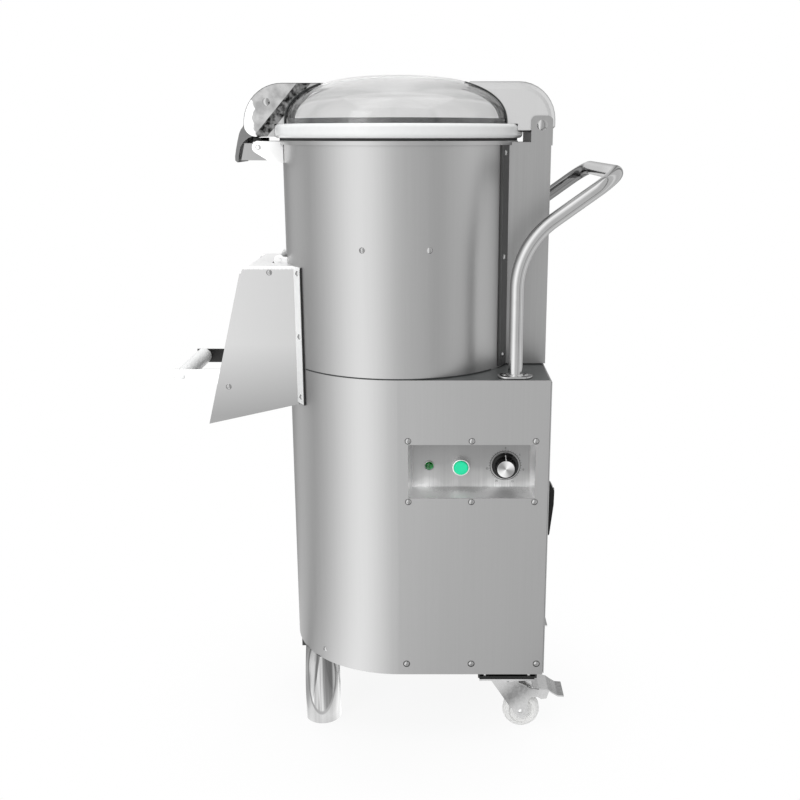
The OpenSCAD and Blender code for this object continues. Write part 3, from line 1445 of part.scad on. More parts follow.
// Side access door and its lock
module access_door() color(steel) on_axis() difference() {
    union() {
        translate([door_x, edge - body_r, door_z]) cube([door_t, 2 * body_r - 3 * edge, door_top_z - door_z]);
        difference() {
            translate([door_x - stiffener_in, stiffener_y, door_z + lip_w])
                cube([stiffener_in, body_r - lip_w - stiffener_w - stiffener_y, door_top_z - door_z - 2 * lip_w]);
            translate([door_x - stiffener_in - over, stiffener_y + stiffener_w, door_z + lip_w + stiffener_w])
                cube([stiffener_in + over, body_r - lip_w - 3 * stiffener_w - stiffener_y,
                    door_top_z - door_z - 2 * lip_w - 2 * stiffener_w]);
        }
        for (s = door_hinge_shares) translate([0, 0, door_z + s * (door_top_z - door_z) + gap]) {
            translate([door_hinge_x, door_hinge_y, 0]) cylinder(r = door_hinge_r, h = door_hinge_h, $fn = small);
            translate([door_x, body_r - over, 0]) cube([door_t, over + door_hinge_r / 2, door_hinge_h]);
        }
    }
    for (s = door_hinge_shares) translate([door_hinge_x, door_hinge_y, door_z + s * (door_top_z - door_z) - over])
        cylinder(r = door_pin_r + run, h = door_hinge_h + 2 * over, $fn = small);
    translate([door_x - over, lock_y, lock_z]) rotate([0, 90, 0])
        cylinder(r = lock_shaft_r + run, h = 2 * over, $fn = fine);
}

module lock_outline(r, low_r) {
    translate([-lock_z, lock_y]) circle(r = r, $fn = fine);
    translate([-lock_low_z - low_r, lock_y]) circle(r = low_r, $fn = fine);
    polygon([[-lock_z, lock_y - r], [-lock_low_z - low_r, lock_y - low_r], [-lock_low_z - low_r, lock_y + low_r],
        [-lock_z, lock_y + r]]);
}

module lock_plate() color(black) on_axis() difference() {
    translate([door_out_x, 0, 0]) rotate([0, 90, 0]) linear_extrude(lock_plate_t) lock_outline(lock_head_r + plate_margin, lock_low_r + plate_margin);
    translate([door_x, lock_y, lock_z]) rotate([0, 90, 0])
        cylinder(r = lock_shaft_r + run, h = 2 * over, $fn = fine);
}

module lock_lever() color(black) on_axis() {
    lever_x = door_out_x + lock_plate_t + gap;
    difference() {
        intersection() {
            translate([lever_x, 0, 0]) rotate([0, 90, 0]) linear_extrude(lock_head_h) lock_outline(lock_head_r, lock_low_r);
            slab(lock_y, 4 * lock_head_r) polygon([[lever_x, lock_z + 2 * lock_head_r], [lever_x, lock_low_z - over],
                [lever_x + lock_tip_h, lock_low_z - over], [lever_x + lock_head_h, lock_z - lock_head_r],
                [lever_x + lock_head_h, lock_z + lock_head_r * lever_slope_share], [lever_x + lock_tip_h, lock_z + lock_head_r]]);
        }
        translate([door_x, lock_y, lock_z]) rotate([0, 90, 0])
            cylinder(r = lock_cyl_r + run, h = 4 * over, $fn = fine);
    }
}

module lock_cam() color(bright_steel) on_axis() translate([0, lock_y, lock_z]) rotate([0, 90, 0]) {
    face_x = door_out_x + lock_plate_t + gap;
    translate([0, 0, face_x]) cylinder(r = lock_cyl_r, h = lock_head_h + lock_cyl_proud, $fn = fine);
    translate([0, 0, door_x - cam_t * 2]) cylinder(r = lock_shaft_r, h = face_x - door_x + cam_t * 2, $fn = fine);
    translate([-cam_l, -cam_w / 2, door_x - cam_t * 2]) cube([cam_l + cam_w / 2, cam_w, cam_t]);
}

// Small dome-head screws of the cabinet, barrel, tower and hood
module dome_screws() color(bright_steel) on_axis() {
    cabinet_fixings() dome_screw(screw_l);
    barrel_fixings() dome_screw(wall_screw_l);
    tower_fixings() dome_screw(flange_screw_l);
    hood_fixings() dome_screw(flange_screw_l);
    hood_plate_fixings() dome_screw(screw_l);
}

cabinet_shell();
base_plate();
inner_frame();
deck_plate();
under_frame();
legs();
caster_plates();
caster_bolts();
barrel();
abrasive_liner();
latch_keeper();
hinge_tower();
dome_screws();
lid_hinge_pin();
push_handle();
handle_bolts();
discharge_hood();
flap_hinge();
bearing_housing();
spindle_bearings();
shaft_seal();
motor_body();
v_belt();
drain_pipe();
water_inlet();
control_tray();
pilot_lamp();
button_bezel();
timer_body();
cable_gland();
abrasive_disc();
spindle_shaft();
large_pulley();
motor_shaft();
motor_pulley();
lid_dome();
lid_ring();
lid_seal();
lid_handle();
lid_hinge_cover();
edge_trims();
lid_pins();
latch_lever();
discharge_flap();
flap_seal();
flap_arms();
flap_grip();
caster_fork_front();
caster_fork_rear();
caster_wheel_front();
caster_wheel_rear();
caster_brake_front();
caster_brake_rear();
start_button();
timer_knob();
knob_cap();
access_door();
lock_plate();
lock_lever();
lock_cam();
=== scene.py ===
# %% [markdown]
# # Electric potato peeler
# A catering peeler: a round barrel of brushed stainless steel over a D-shaped machine cabinet, a clear domed lid,
# a discharge hood on the left and a bent-tube push handle on the right. The packed CAD model is loaded first and
# stays where it is. The steps below give each CAD node a finish, or set a finer piece in its place.

# %% Load the CAD model
from math import atan2, cos, pi, radians, sin, tau

import bmesh
import bpy
from mathutils import Matrix, Vector


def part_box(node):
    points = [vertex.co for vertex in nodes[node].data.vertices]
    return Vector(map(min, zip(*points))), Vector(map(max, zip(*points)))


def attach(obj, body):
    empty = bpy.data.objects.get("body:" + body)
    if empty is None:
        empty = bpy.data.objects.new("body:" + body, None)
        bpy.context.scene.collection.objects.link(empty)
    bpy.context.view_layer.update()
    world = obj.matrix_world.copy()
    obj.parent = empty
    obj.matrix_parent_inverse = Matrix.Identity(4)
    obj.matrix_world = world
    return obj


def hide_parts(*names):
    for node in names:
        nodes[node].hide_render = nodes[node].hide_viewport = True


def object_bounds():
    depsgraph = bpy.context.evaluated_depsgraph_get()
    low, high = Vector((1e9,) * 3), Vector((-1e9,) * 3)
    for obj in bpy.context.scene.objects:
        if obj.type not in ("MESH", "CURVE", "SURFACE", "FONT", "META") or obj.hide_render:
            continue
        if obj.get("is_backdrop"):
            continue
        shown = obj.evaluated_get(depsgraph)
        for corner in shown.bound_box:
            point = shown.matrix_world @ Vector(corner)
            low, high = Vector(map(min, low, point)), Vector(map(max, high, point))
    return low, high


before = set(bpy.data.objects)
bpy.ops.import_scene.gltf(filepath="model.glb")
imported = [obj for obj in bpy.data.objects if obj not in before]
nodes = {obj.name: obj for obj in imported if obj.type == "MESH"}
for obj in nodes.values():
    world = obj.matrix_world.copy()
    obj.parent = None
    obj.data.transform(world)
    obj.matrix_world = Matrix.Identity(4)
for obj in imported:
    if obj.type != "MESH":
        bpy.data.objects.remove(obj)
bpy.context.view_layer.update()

MM = 0.001
AXIS_X = 12.75


# %% [markdown]
# ## The view
# The photograph looks slightly down on the machine from in front. A camera can be matched by eye, or worked out from
# edges whose real places are known. It was worked out here: 14.6 degrees down, 1.68 m in front of the barrel's axis,
# with a focal length of 1016 pixels on a picture 800 pixels wide, which is shifted a little to the side.

# %% Camera
PICTURE, FOCAL_PX, SHIFT_PX = 800, 1016, -32
SENSOR = 36
CAMERA_PLACE, CAMERA_DOWN = (0.0658, -1.680, 0.980), 14.6
camera_data = bpy.data.cameras.new("camera")
camera_data.sensor_width = SENSOR
camera_data.lens = FOCAL_PX / PICTURE * SENSOR
camera_data.shift_x = SHIFT_PX / PICTURE
camera = bpy.data.objects.new("camera", camera_data)
camera.location = CAMERA_PLACE
camera.rotation_euler = (radians(90 - CAMERA_DOWN), 0, 0)
bpy.context.scene.collection.objects.link(camera)
bpy.context.scene.camera = camera
print("lens:", round(camera_data.lens, 2), "mm")


# %% [markdown]
# ## Shader sums
# A finish is a small network of nodes. Wiring nodes by hand is slow to read, so one class wraps a socket and lets
# Python's own signs add the Math nodes. A second class holds the network and makes every other node.

# %% Sockets that add up
def grey(level):
    """A grey of 0 to 255, as a picture shows it, in the linear numbers that shaders use."""
    return colour(level, level, level)


def colour(r, g, b):
    """A colour of 0 to 255 a channel, as a picture shows it, in linear numbers."""
    linear = [v / 12.92 if v <= 0.04045 else ((v + 0.055) / 1.055) ** 2.4 for v in (r / 255, g / 255, b / 255)]
    return (*linear, 1)


class Value:
    """A socket of a finish that takes part in sums."""

    def __init__(self, finish, socket):
        self.finish, self.socket = finish, socket

    def __add__(self, other):
        return self.finish.math("ADD", self, other)

    def __sub__(self, other):
        return self.finish.math("SUBTRACT", self, other)

    def __rsub__(self, other):
        return self.finish.math("SUBTRACT", other, self)

    def __mul__(self, other):
        return self.finish.math("MULTIPLY", self, other)

    __radd__ = __add__
    __rmul__ = __mul__


print("one grey of 168 is", round(grey(168)[0], 3), "in linear numbers")


# %% The network
class Finish:
    """A material and the nodes it is made of."""

    def __init__(self, name):
        self.material = bpy.data.materials.new(name)
        self.material.use_nodes = True
        self.tree = self.material.node_tree
        self.tree.nodes.clear()
        self.place = self.node("ShaderNodeTexCoord", out="Object")

    def node(self, kind, settings=None, sockets=None, out=0):
        """Make a node, set its settings, then fill its sockets with values or links. Returns one output."""
        made = self.tree.nodes.new(kind)
        for key, value in (settings or {}).items():
            if key == "stops":
                ramp = made.color_ramp
                ramp.elements[0].position, ramp.elements[0].color = value[0]
                ramp.elements[1].position, ramp.elements[1].color = value[-1]
                for position, shade in value[1:-1]:
                    ramp.elements.new(position).color = shade
            else:
                setattr(made, key, value)
        if isinstance(sockets, (list, tuple)):
            sockets = dict(enumerate(sockets))
        for key, value in (sockets or {}).items():
            if isinstance(value, Value):
                self.tree.links.new(value.socket, made.inputs[key])
            else:
                made.inputs[key].default_value = value
        return Value(self, made.outputs[out]) if made.outputs else made

    def axes(self):
        """The x, y and z of the object's own coordinates, in metres."""
        split = self.node("ShaderNodeSeparateXYZ", None, {"Vector": self.place}).socket.node
        return [Value(self, part) for part in split.outputs]

    def math(self, operation, *values):
        """One Math node on one or two values."""
        return self.node("ShaderNodeMath", {"operation": operation}, values)

    def share(self, value, start, end):
        """0 to 1 as value goes from start to end."""
        return self.node("ShaderNodeMapRange", None, {"Value": value, "From Min": start, "From Max": end})

    def noise(self, scale, stretch=(1, 1, 1), detail=2.0):
        """Noise on the object's own coordinates, drawn out along the axes whose stretch is small."""
        place = self.node("ShaderNodeMapping", None, {"Vector": self.place, "Scale": stretch})
        return self.node("ShaderNodeTexNoise", None, {"Vector": place, "Scale": scale, "Detail": detail})

    def ramp(self, fac, low, high, start=0.0, end=1.0):
        """A colour that goes from low to high as fac goes from start to end."""
        return self.node("ShaderNodeValToRGB", {"stops": [(start, low), (end, high)]}, {"Fac": fac})

    def tones(self, fac, levels):
        """A run of greys, given as pairs of a place along fac and a level."""
        return self.node("ShaderNodeValToRGB", {"stops": [(at, grey(level)) for at, level in levels]}, {"Fac": fac})

    def mix(self, share, low, high):
        """The colour low where share is 0, and high where it is 1."""
        return self.node("ShaderNodeMix", {"data_type": "RGBA"}, {0: share, 6: low, 7: high}, 2)

    def bump(self, height, distance):
        return self.node("ShaderNodeBump", None, {"Height": height, "Distance": distance, "Strength": 1.0})

    def done(self, **sockets):
        """Close the network with the surface shader. Names of its sockets are given with _ for a space."""
        named = {key.replace("_", " "): value for key, value in sockets.items()}
        surface = self.node("ShaderNodeBsdfPrincipled", None, named)
        self.node("ShaderNodeOutputMaterial", None, {"Surface": surface})
        return self.material


print("a finish can make:", [key for key in vars(Finish) if not key.startswith("_")])


# %% [markdown]
# ## Brushed steel
# Sheet for kitchen machines is brushed with a belt, which leaves fine parallel lines and a soft sheen. It could be one
# flat grey, but the lines are what tells it from paint. Noise that is stretched along one axis gives the lines, and a
# wider noise gives the slow drift of tone of a large sheet. The same recipe serves each sheet with its own grey.

# %% Brushed sheets
UPRIGHT, ALONG_X, ALONG_Y = (1, 1, 0.012), (0.012, 1, 1), (1, 0.012, 1)
BRUSH_SCALE, BRUSH_DEPTH = 420, 0.000008


def brushed(name, level, grain=UPRIGHT, rough=0.37, contrast=2):
    """Brushed metal of one grey, with lines along the axis that grain draws out."""
    f = Finish(name)
    lines = f.noise(BRUSH_SCALE, grain, 3)
    drift = f.noise(7, tuple(0.3 + 0.7 * g for g in grain), 1)
    tone = lines * 0.55 + drift * 0.45
    return f.done(
        Base_Color=f.ramp(tone, grey(level - contrast), grey(level + contrast), 0.3, 0.7),
        Roughness=rough + (lines - 0.5) * 0.08 + (drift - 0.5) * 0.06,
        Metallic=1.0,
        Normal=f.bump(lines, BRUSH_DEPTH),
    )


sheet_steel = brushed("brushed_sheet", 168)
tower_steel = brushed("tower_sheet", 158, contrast=4)
inner_steel = brushed("plain_sheet", 158)
level_steel = brushed("level_sheet", 150, ALONG_X)
cover_steel = brushed("cover_sheet", 203)
bright_strip = brushed("bright_strip", 238, rough=0.3)
lever_steel = brushed("lever_satin", 116, ALONG_X, contrast=3)
pale_steel = brushed("pale_satin", 236, ALONG_Y, contrast=1)
print("brushed sheets made")


# %% [markdown]
# The control tray is the same sheet, but its folded lower lip and the wall near it catch the light from below. A ramp
# along Z over the tray's height paints that light and shade, and a wide noise clouds it. The side walls get a painted
# highlight.

# %% Tray sheet
TRAY_FOOT, TRAY_TOP = 0.432, 0.519
TRAY_LIGHT_TONES = [(0, 244), (0.1, 232), (0.15, 208), (0.3, 176), (0.55, 150), (1, 136)]
TRAY_MIDDLE, WALL_START, WALL_END = 0.12725, 0.092, 0.0935


def tray_sheet():
    f = Finish("panel_sheet")
    x, _, z = f.axes()
    lines = f.noise(BRUSH_SCALE, UPRIGHT, 3)
    cloud = f.noise(22, detail=1)
    # painted light and shade: the ramp along Z lightens the folded lip and the wall near it
    back = f.tones(f.share(z, TRAY_FOOT, TRAY_TOP) + (lines - 0.5) * 0.16 + (cloud - 0.5) * 0.5, TRAY_LIGHT_TONES)
    wall = f.share(f.math("ABSOLUTE", x - TRAY_MIDDLE), WALL_START, WALL_END)
    return f.done(
        # painted highlight on the two side walls
        Base_Color=f.mix(wall, back, grey(246)),
        Roughness=0.38 + (lines - 0.5) * 0.1,
        Metallic=0.85,
        Normal=f.bump(lines, 0.000006),
    )


panel_steel = tray_sheet()
print("tray sheet made")


# %% [markdown]
# The hood is folded from a paler sheet whose tone falls off from its top to its pointed foot. That drift is painted
# light and shade, what the sheet reflects laid into its colour, so a long ramp along Z carries it, with a pale step at
# the level top.

# %% Hood sheet
HOOD_LOW, HOOD_TOP = 0.54, 0.78
HOOD_PAINTED_TONES = [(0, 138), (0.49, 184), (0.975, 186), (0.99, 246)]


def hood_sheet():
    f = Finish("hood_sheet")
    z = f.axes()[2]
    lines = f.noise(BRUSH_SCALE, UPRIGHT, 3)
    fall = f.share(z, HOOD_LOW, HOOD_TOP)
    level_top = f.share(z, HOOD_TOP - 0.0015, HOOD_TOP + 0.0005)
    return f.done(
        # painted light and shade: the sheet darkens from its level top to its foot, with a pale step at the top
        Base_Color=f.tones(fall * 0.98 + lines * 0.02, HOOD_PAINTED_TONES),
        Roughness=0.36 + (lines - 0.5) * 0.08,
        Metallic=1.0 - level_top * 0.6,
        Normal=f.bump(lines, BRUSH_DEPTH),
    )


hood_steel = hood_sheet()
print("hood sheet made")


# %% [markdown]
# ## Polished and plated metal
# Tubes, pins and screws are polished, the casters are zinc plated, and the castings inside are grey. Polish needs
# almost no pattern, only faint draw lines and a trace of smudge in the roughness, because its look is in what it
# reflects. Zinc has a crystalline mottle, and a casting a fine sand grain.

# %% Polished, plated and cast
SHADE_START, SHADE_END = -0.15, -0.05


def polished(name, level, rough, far=None):
    """Polished metal; a level for far tones down the half that stands in the shade behind."""
    f = Finish(name)
    lines, smudge = f.noise(300, UPRIGHT), f.noise(30)
    tone = f.ramp(smudge, grey(level - 3), grey(level + 3), 0.3, 0.7)
    if far:
        tone = f.mix(f.share(f.axes()[1], SHADE_START, SHADE_END), tone, grey(far))
    return f.done(
        Base_Color=tone,
        Roughness=rough + (smudge - 0.5) * 0.05 + (lines - 0.5) * 0.03,
        Metallic=1.0,
        Normal=f.bump(lines, 0.000006),
    )


def mottled(name, low, high, scale, rough, metallic, grain_height):
    """A surface whose tone and height vary with one round-grained noise."""
    f = Finish(name)
    mottle = f.noise(scale, detail=3)
    return f.done(
        Base_Color=f.ramp(mottle, grey(low), grey(high), 0.35, 0.65),
        Roughness=rough + (mottle - 0.5) * 0.15,
        Metallic=metallic,
        Normal=f.bump(mottle, grain_height),
    )


tube_steel = polished("polished_tube", 172, 0.1, far=128)
screw_steel = polished("bright_screw", 158, 0.12)
zinc = mottled("zinc_plate", 202, 212, 180, 0.18, 1.0, 0.000004)
cast_metal = mottled("cast_iron", 92, 124, 500, 0.6, 0.6, 0.0001)
print("metals made")

# %% Arm sheet
ARM_INNER, ARM_OUTER = 0.0806, 0.0812


def arm_sheet():
    """Pale satin outside, and painted shade on the arms' inner sides, where they face each other."""
    f = Finish("arm_sheet")
    lines = f.noise(BRUSH_SCALE, ALONG_X)
    outside = f.share(f.math("ABSOLUTE", f.axes()[1]), ARM_INNER, ARM_OUTER)
    return f.done(
        # painted shade on the inner sides of the arms
        Base_Color=f.mix(outside, grey(52), grey(236)),
        Roughness=0.35 + (lines - 0.5) * 0.1,
        Metallic=1.0,
        Normal=f.bump(lines, BRUSH_DEPTH),
    )


arm_steel = arm_sheet()
print("arm sheet made")


# %% [markdown]
# The lid's handle box is polished to a mirror, and its side shows a white patch, a grey field and one dark slanting
# band with swirls in it, inside a thin dark rim. The patch, the field and the band are reflections. A mirror would need
# a whole room round it for them, so they are painted on the sheet as painted reflection along the band's slope, and two
# noises bend their edges and fill the band. A mask on Y keeps them to the box's two upright sides.

# %% Mirror sheet
BAND_X, BAND_Z, BAND_SLOPE, BAND_REACH = -0.203, 0.988, 0.88, 0.04
BAND_STEPS = [(0, 0), (0.49, 0), (0.5, 255), (0.76, 255), (0.77, 0)]
PATCH_START, PATCH_END, PATCH_TOP = -0.2095, -0.2115, 1.03
ROUND_X, ROUND_Z, RIM_START, RIM_END = -0.16525, 0.997, 0.0598, 0.0605
FLANK_START, FLANK_END = 0.0466, 0.0474


def mirror_sheet():
    f = Finish("mirror_sheet")
    x, y, z = f.axes()
    swirl, cloud = f.noise(130, (1, 0.3, 1), 3), f.noise(60, (1, 0.3, 1))
    across = (x - BAND_X) - (z - BAND_Z) * BAND_SLOPE + (cloud - 0.5) * 0.001
    band = f.tones(f.share(across, -BAND_REACH, BAND_REACH), BAND_STEPS)
    climb = f.math("MAXIMUM", z - PATCH_TOP, 0.0)
    patch = f.share(x + (cloud - 0.5) * 0.02 + climb * 0.8, PATCH_START, PATCH_END)
    left, up = f.math("MINIMUM", x - ROUND_X, 0.0), f.math("MAXIMUM", z - ROUND_Z, 0.0)
    rim = f.share(left * left + up * up, RIM_START ** 2, RIM_END ** 2)
    flank = f.share(f.math("ABSOLUTE", y), FLANK_START, FLANK_END)
    tone = f.ramp(cloud, grey(146), grey(176), 0.35, 0.65)
    swirls = f.ramp(swirl, grey(22), grey(120), 0.38, 0.62)
    # painted reflection: the dark band with its swirls and the white patch; then the thin dark rim
    for mask, other in ((band, swirls), (patch, grey(238)), (rim, grey(58))):
        tone = f.mix(mask * flank, tone, other)
    return f.done(
        Base_Color=tone,
        Roughness=0.1 + (swirl - 0.5) * 0.06,
        Metallic=1.0,
        Normal=f.bump(swirl, 0.000004),
    )


mirror_steel = mirror_sheet()
print("mirror sheet made")


# %% [markdown]
# The legs are tube from a coarser polish, with an upright oval face. Streaks of painted reflection run along them and
# are strongest inside the oval. The timer's cap is turned, and a turned face shows two bright and two dark wedges,
# painted here as highlight and shade. Both follow from a sum on the coordinates: a stretched noise and an oval's
# equation for the legs, and the angle about the cap's own axis for the wedges.

# %% Streaked leg and turned cap
OVAL_Z, OVAL_HALF_WIDE, OVAL_HALF_HIGH = 0.086, 0.024, 0.066
CAP_X, CAP_Z, WEDGE_TURN = 0.18125, 0.476, radians(55)


def streaked(name, oval_x):
    """Polished tube with painted streaks of reflection, strongest inside an upright oval face."""
    f = Finish(name)
    x, _, z = f.axes()
    streaks, fine_lines = f.noise(60, (1, 1, 0.03), 1), f.noise(BRUSH_SCALE, UPRIGHT)
    across, rise = (x - oval_x) * (1 / OVAL_HALF_WIDE), (z - OVAL_Z) * (1 / OVAL_HALF_HIGH)
    oval = across * across + rise * rise
    inside = f.share(oval, 1.08, 0.92)
    outline = f.share(f.math("ABSOLUTE", oval - 1.0), 0.14, 0.05)
    mixed = streaks * 0.85 + fine_lines * 0.15
    tone = f.ramp(mixed, grey(146), grey(170), 0.4, 0.6)
    # painted reflection: strong bright and dark streaks inside the oval
    tone = f.mix(inside, tone, f.ramp(mixed, grey(104), grey(210), 0.42, 0.58))
    return f.done(
        # a darker outline round the oval
        Base_Color=f.mix(outline, tone, grey(126)),
        Roughness=0.13 + (streaks - 0.5) * 0.1,
        Metallic=1.0,
        Normal=f.bump(fine_lines, 0.000006),
    )


def turned_face(name):
    f = Finish(name)
    x, _, z = f.axes()
    # painted highlight and shade: two bright and two dark wedges about the cap's axis
    angle = f.math("ARCTAN2", z - CAP_Z, x - CAP_X)
    wedge = f.math("COSINE", (angle - WEDGE_TURN) * 2.0)
    lines = f.noise(900)
    return f.done(
        Base_Color=f.ramp(wedge * 0.45 + lines * 0.1 + 0.45, grey(150), grey(244), 0.1, 0.95),
        Roughness=0.3 + (lines - 0.5) * 0.1,
        Metallic=1.0,
    )


leg_low, leg_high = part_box("legs")
leg_steel = streaked("polished_leg", (leg_low[0] + leg_high[0]) / 2)
cap_steel = turned_face("turned_cap")
print("leg and cap made")


# %% [markdown]
# ## Plastics, rubber, paint and grit
# Moulded plastic is smooth with a slight orange-peel ripple, rubber is duller, and the abrasive is a bed of sharp
# grains. Two noises mixed into the colour and the height give the grains their speckle.

# %% Plastics, rubber and grit
def moulded(name, tint, rough, ripple=0.000004, spread=3, **extra):
    """Smooth plastic, paint or rubber of one tint, with a faint drift in tone and height."""
    f = Finish(name)
    skin = f.noise(160)
    low, high = [colour(*(max(0, v + s * spread) for v in tint)) for s in (-0.5, 0.5)]
    return f.done(
        Base_Color=f.ramp(skin, low, high, 0.35, 0.65),
        Roughness=rough + (skin - 0.5) * 0.08,
        Normal=f.bump(skin, ripple),
        **extra,
    )


def abrasive(name):
    f = Finish(name)
    grains, patches = f.noise(900, detail=3), f.noise(60)
    tone = grains * 0.75 + patches * 0.25
    return f.done(
        Base_Color=f.ramp(tone, colour(52, 46, 42), colour(128, 120, 112), 0.35, 0.65),
        Roughness=0.85,
        Normal=f.bump(grains, 0.0006),
    )


white_nylon = moulded("white_nylon", (240, 240, 239), 0.34)
ring_plastic = moulded("ring_plastic", (224, 225, 225), 0.25, spread=2)
grip_pale = moulded("grip_pale", (238, 239, 239), 0.3, spread=1)
near_white_face = moulded("near_white_face", (248, 249, 249), 0.3, spread=1, Metallic=0.5)
# painted shade: a dark grey for strips and rings that stand where there is only shade
painted_shade_black = moulded("painted_shade_black", (66, 66, 66), 0.35)
black_plastic = moulded("black_plastic", (14, 14, 14), 0.24, IOR=1.3)
black_paint = moulded("black_paint", (34, 35, 35), 0.4, 0.00002)
deck_paint = moulded("deck_paint", (76, 78, 78), 0.42, 0.00002)
rubber = moulded("black_rubber", (44, 46, 46), 0.6, 0.00003)
seal_rubber = moulded("seal_rubber", (30, 30, 30), 0.7, 0.00003)
motor_paint = moulded("motor_paint", (92, 100, 108), 0.45, 0.00003)
button_green = moulded("button_green", (0, 224, 164), 0.45)
mark_ink = moulded("mark_ink", (16, 16, 16), 0.5)
mark_white = moulded("mark_white", (236, 236, 236), 0.5)
grit = abrasive("bonded_grit")
print("plastics and grit made")


# %% [markdown]
# ## Clear and coloured glass-like parts
# The dome is clear polycarbonate, and the lamp's lens is dark green and faceted. Both are real shells with a wall, so
# the shader can refract through them. The dome's surface carries a faint haze and moulding ripple.

# %% Clear dome and lens
def clear_plastic(name, tint, rough, ior, ripple, coat=0.0):
    f = Finish(name)
    haze = f.noise(24)
    return f.done(
        Base_Color=f.ramp(haze, colour(*(v - 4 for v in tint)), colour(*tint), 0.35, 0.65),
        Roughness=rough + (haze - 0.4) * 0.05,
        IOR=ior,
        Transmission_Weight=1.0,
        Coat_Weight=coat,
        Coat_Roughness=0.04,
        Normal=f.bump(haze, ripple),
    )


clear_dome = clear_plastic("clear_dome", (236, 236, 236), 0.02, 1.03, 0.0001, 0.8)
green_lens = clear_plastic("green_lens", (56, 246, 140), 0.05, 1.5, 0.00005)
print("clear parts made")


# %% [markdown]
# ## Finishes on the CAD nodes
# Each CAD node has a material slot of its own, so a finish goes on by assigning it. A table from finish to nodes keeps
# it readable, and a check at the end shows any node that was forgotten.

# %% Give every node its finish
FINISHES = [
    (sheet_steel, "cabinet_shell barrel access_door"),
    (tower_steel, "hinge_tower"),
    (inner_steel, "inner_frame drain_pipe discharge_flap latch_keeper"),
    (lever_steel, "latch_lever"),
    (level_steel, "base_plate"),
    (deck_paint, "deck_plate"),
    (panel_steel, "control_tray"),
    (hood_steel, "discharge_hood"),
    (cover_steel, "lid_hinge_cover"),
    (mirror_steel, "lid_handle"),
    (tube_steel, "push_handle flap_grip water_inlet"),
    (leg_steel, "legs"),
    (arm_steel, "flap_arms"),
    (pale_steel, "flap_hinge"),
    (screw_steel, "dome_screws handle_bolts lid_hinge_pin lid_pins lock_cam knob_cap button_bezel spindle_bearings"),
    (screw_steel, "spindle_shaft motor_shaft"),
    (zinc, "caster_plates caster_bolts caster_fork_front caster_fork_rear caster_brake_front caster_brake_rear"),
    (white_nylon, "caster_wheel_front caster_wheel_rear"),
    (ring_plastic, "lid_ring"),
    (black_paint, "under_frame"),
    (black_plastic, "timer_body timer_knob cable_gland lock_plate lock_lever"),
    (rubber, "edge_trims v_belt"),
    (seal_rubber, "lid_seal flap_seal shaft_seal"),
    (cast_metal, "bearing_housing large_pulley motor_pulley"),
    (motor_paint, "motor_body"),
    (grit, "abrasive_liner abrasive_disc"),
    (button_green, "start_button"),
    (green_lens, "pilot_lamp"),
    (clear_dome, "lid_dome"),
]
finished = set()
for material, names in FINISHES:
    for name in names.split():
        data = nodes[name].data
        data.materials.clear()
        data.materials.append(material)
        finished.add(name)
print("nodes without a finish:", sorted(set(nodes) - finished))


# %% [markdown]
# ## Making pieces
# A piece starts as a bmesh in millimetres, in the CAD model's frame with the barrel's axis in the middle. These few
# helpers turn it into an object: they scale it to metres, point its faces outwards, shade it smooth up to a chosen
# angle, and hang it on the body that it moves with.

# %% Helpers
def to_frame(bm):
    """From millimetres about the barrel's axis to metres in the part's frame."""
    bmesh.ops.translate(bm, vec=(AXIS_X, 0, 0), verts=bm.verts)
    bmesh.ops.scale(bm, vec=(MM, MM, MM), verts=bm.verts)


def piece(bm, name, body, material, replaced=(), crease=35):
    """Close a bmesh into a named piece that rides on a body."""
    bmesh.ops.remove_doubles(bm, verts=bm.verts, dist=0.002)
    bmesh.ops.recalc_face_normals(bm, faces=bm.faces)
    to_frame(bm)
    data = bpy.data.meshes.new(name)
    bm.to_mesh(data)
    bm.free()
    data.materials.append(material)
    data.shade_smooth()
    data.set_sharp_from_angle(angle=radians(crease))
    made = bpy.data.objects.new(name, data)
    bpy.context.scene.collection.objects.link(made)
    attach(made, body)
    if replaced:
        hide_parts(*replaced)
    print(name, "faces:", len(data.polygons))


def spun(bm, profile, place=Matrix(), steps=96, closed=False):
    """Spin a profile of (radius, height) points about Z, then set it in place."""
    verts = [bm.verts.new((r, 0, z)) for r, z in profile]
    edges = [bm.edges.new(pair) for pair in zip(verts, verts[1:])]
    if closed:
        edges.append(bm.edges.new((verts[-1], verts[0])))
    before = set(bm.verts)
    bmesh.ops.spin(bm, geom=verts + edges, cent=(0, 0, 0), axis=(0, 0, 1), angle=tau, steps=steps, use_merge=True)
    bmesh.ops.transform(bm, matrix=place, verts=verts + [v for v in bm.verts if v not in before])


def plate(bm, outline, depth, place, bevel=0.0):
    """Extrude a flat outline of (x, y) points by depth along Z, round its edges, then set it in place."""
    base = [bm.verts.new((x, y, 0)) for x, y in outline]
    face = bm.faces.new(base)
    moved = bmesh.ops.extrude_face_region(bm, geom=[face])["geom"]
    top = [g for g in moved if isinstance(g, bmesh.types.BMVert)]
    bmesh.ops.translate(bm, vec=(0, 0, depth), verts=top)
    body = base + top
    if bevel:
        edges = {e for v in body for e in v.link_edges}
        flat = [e for e in edges if abs(e.verts[0].co.z - e.verts[1].co.z) < depth / 2]
        made = bmesh.ops.bevel(bm, geom=flat, offset=bevel, segments=2, profile=0.5, affect="EDGES", material=-1)
        body = list(set(v for v in body if v.is_valid) | set(made["verts"]))
    bmesh.ops.transform(bm, matrix=place, verts=body)


print("shapes ready: spun, plate")

# %% Places and rectangles
def facing_front(x, y, z):
    """A place whose Z axis points at the viewer, along -Y."""
    return Matrix.Translation((x, y, z)) @ Matrix.Rotation(pi / 2, 4, "X")


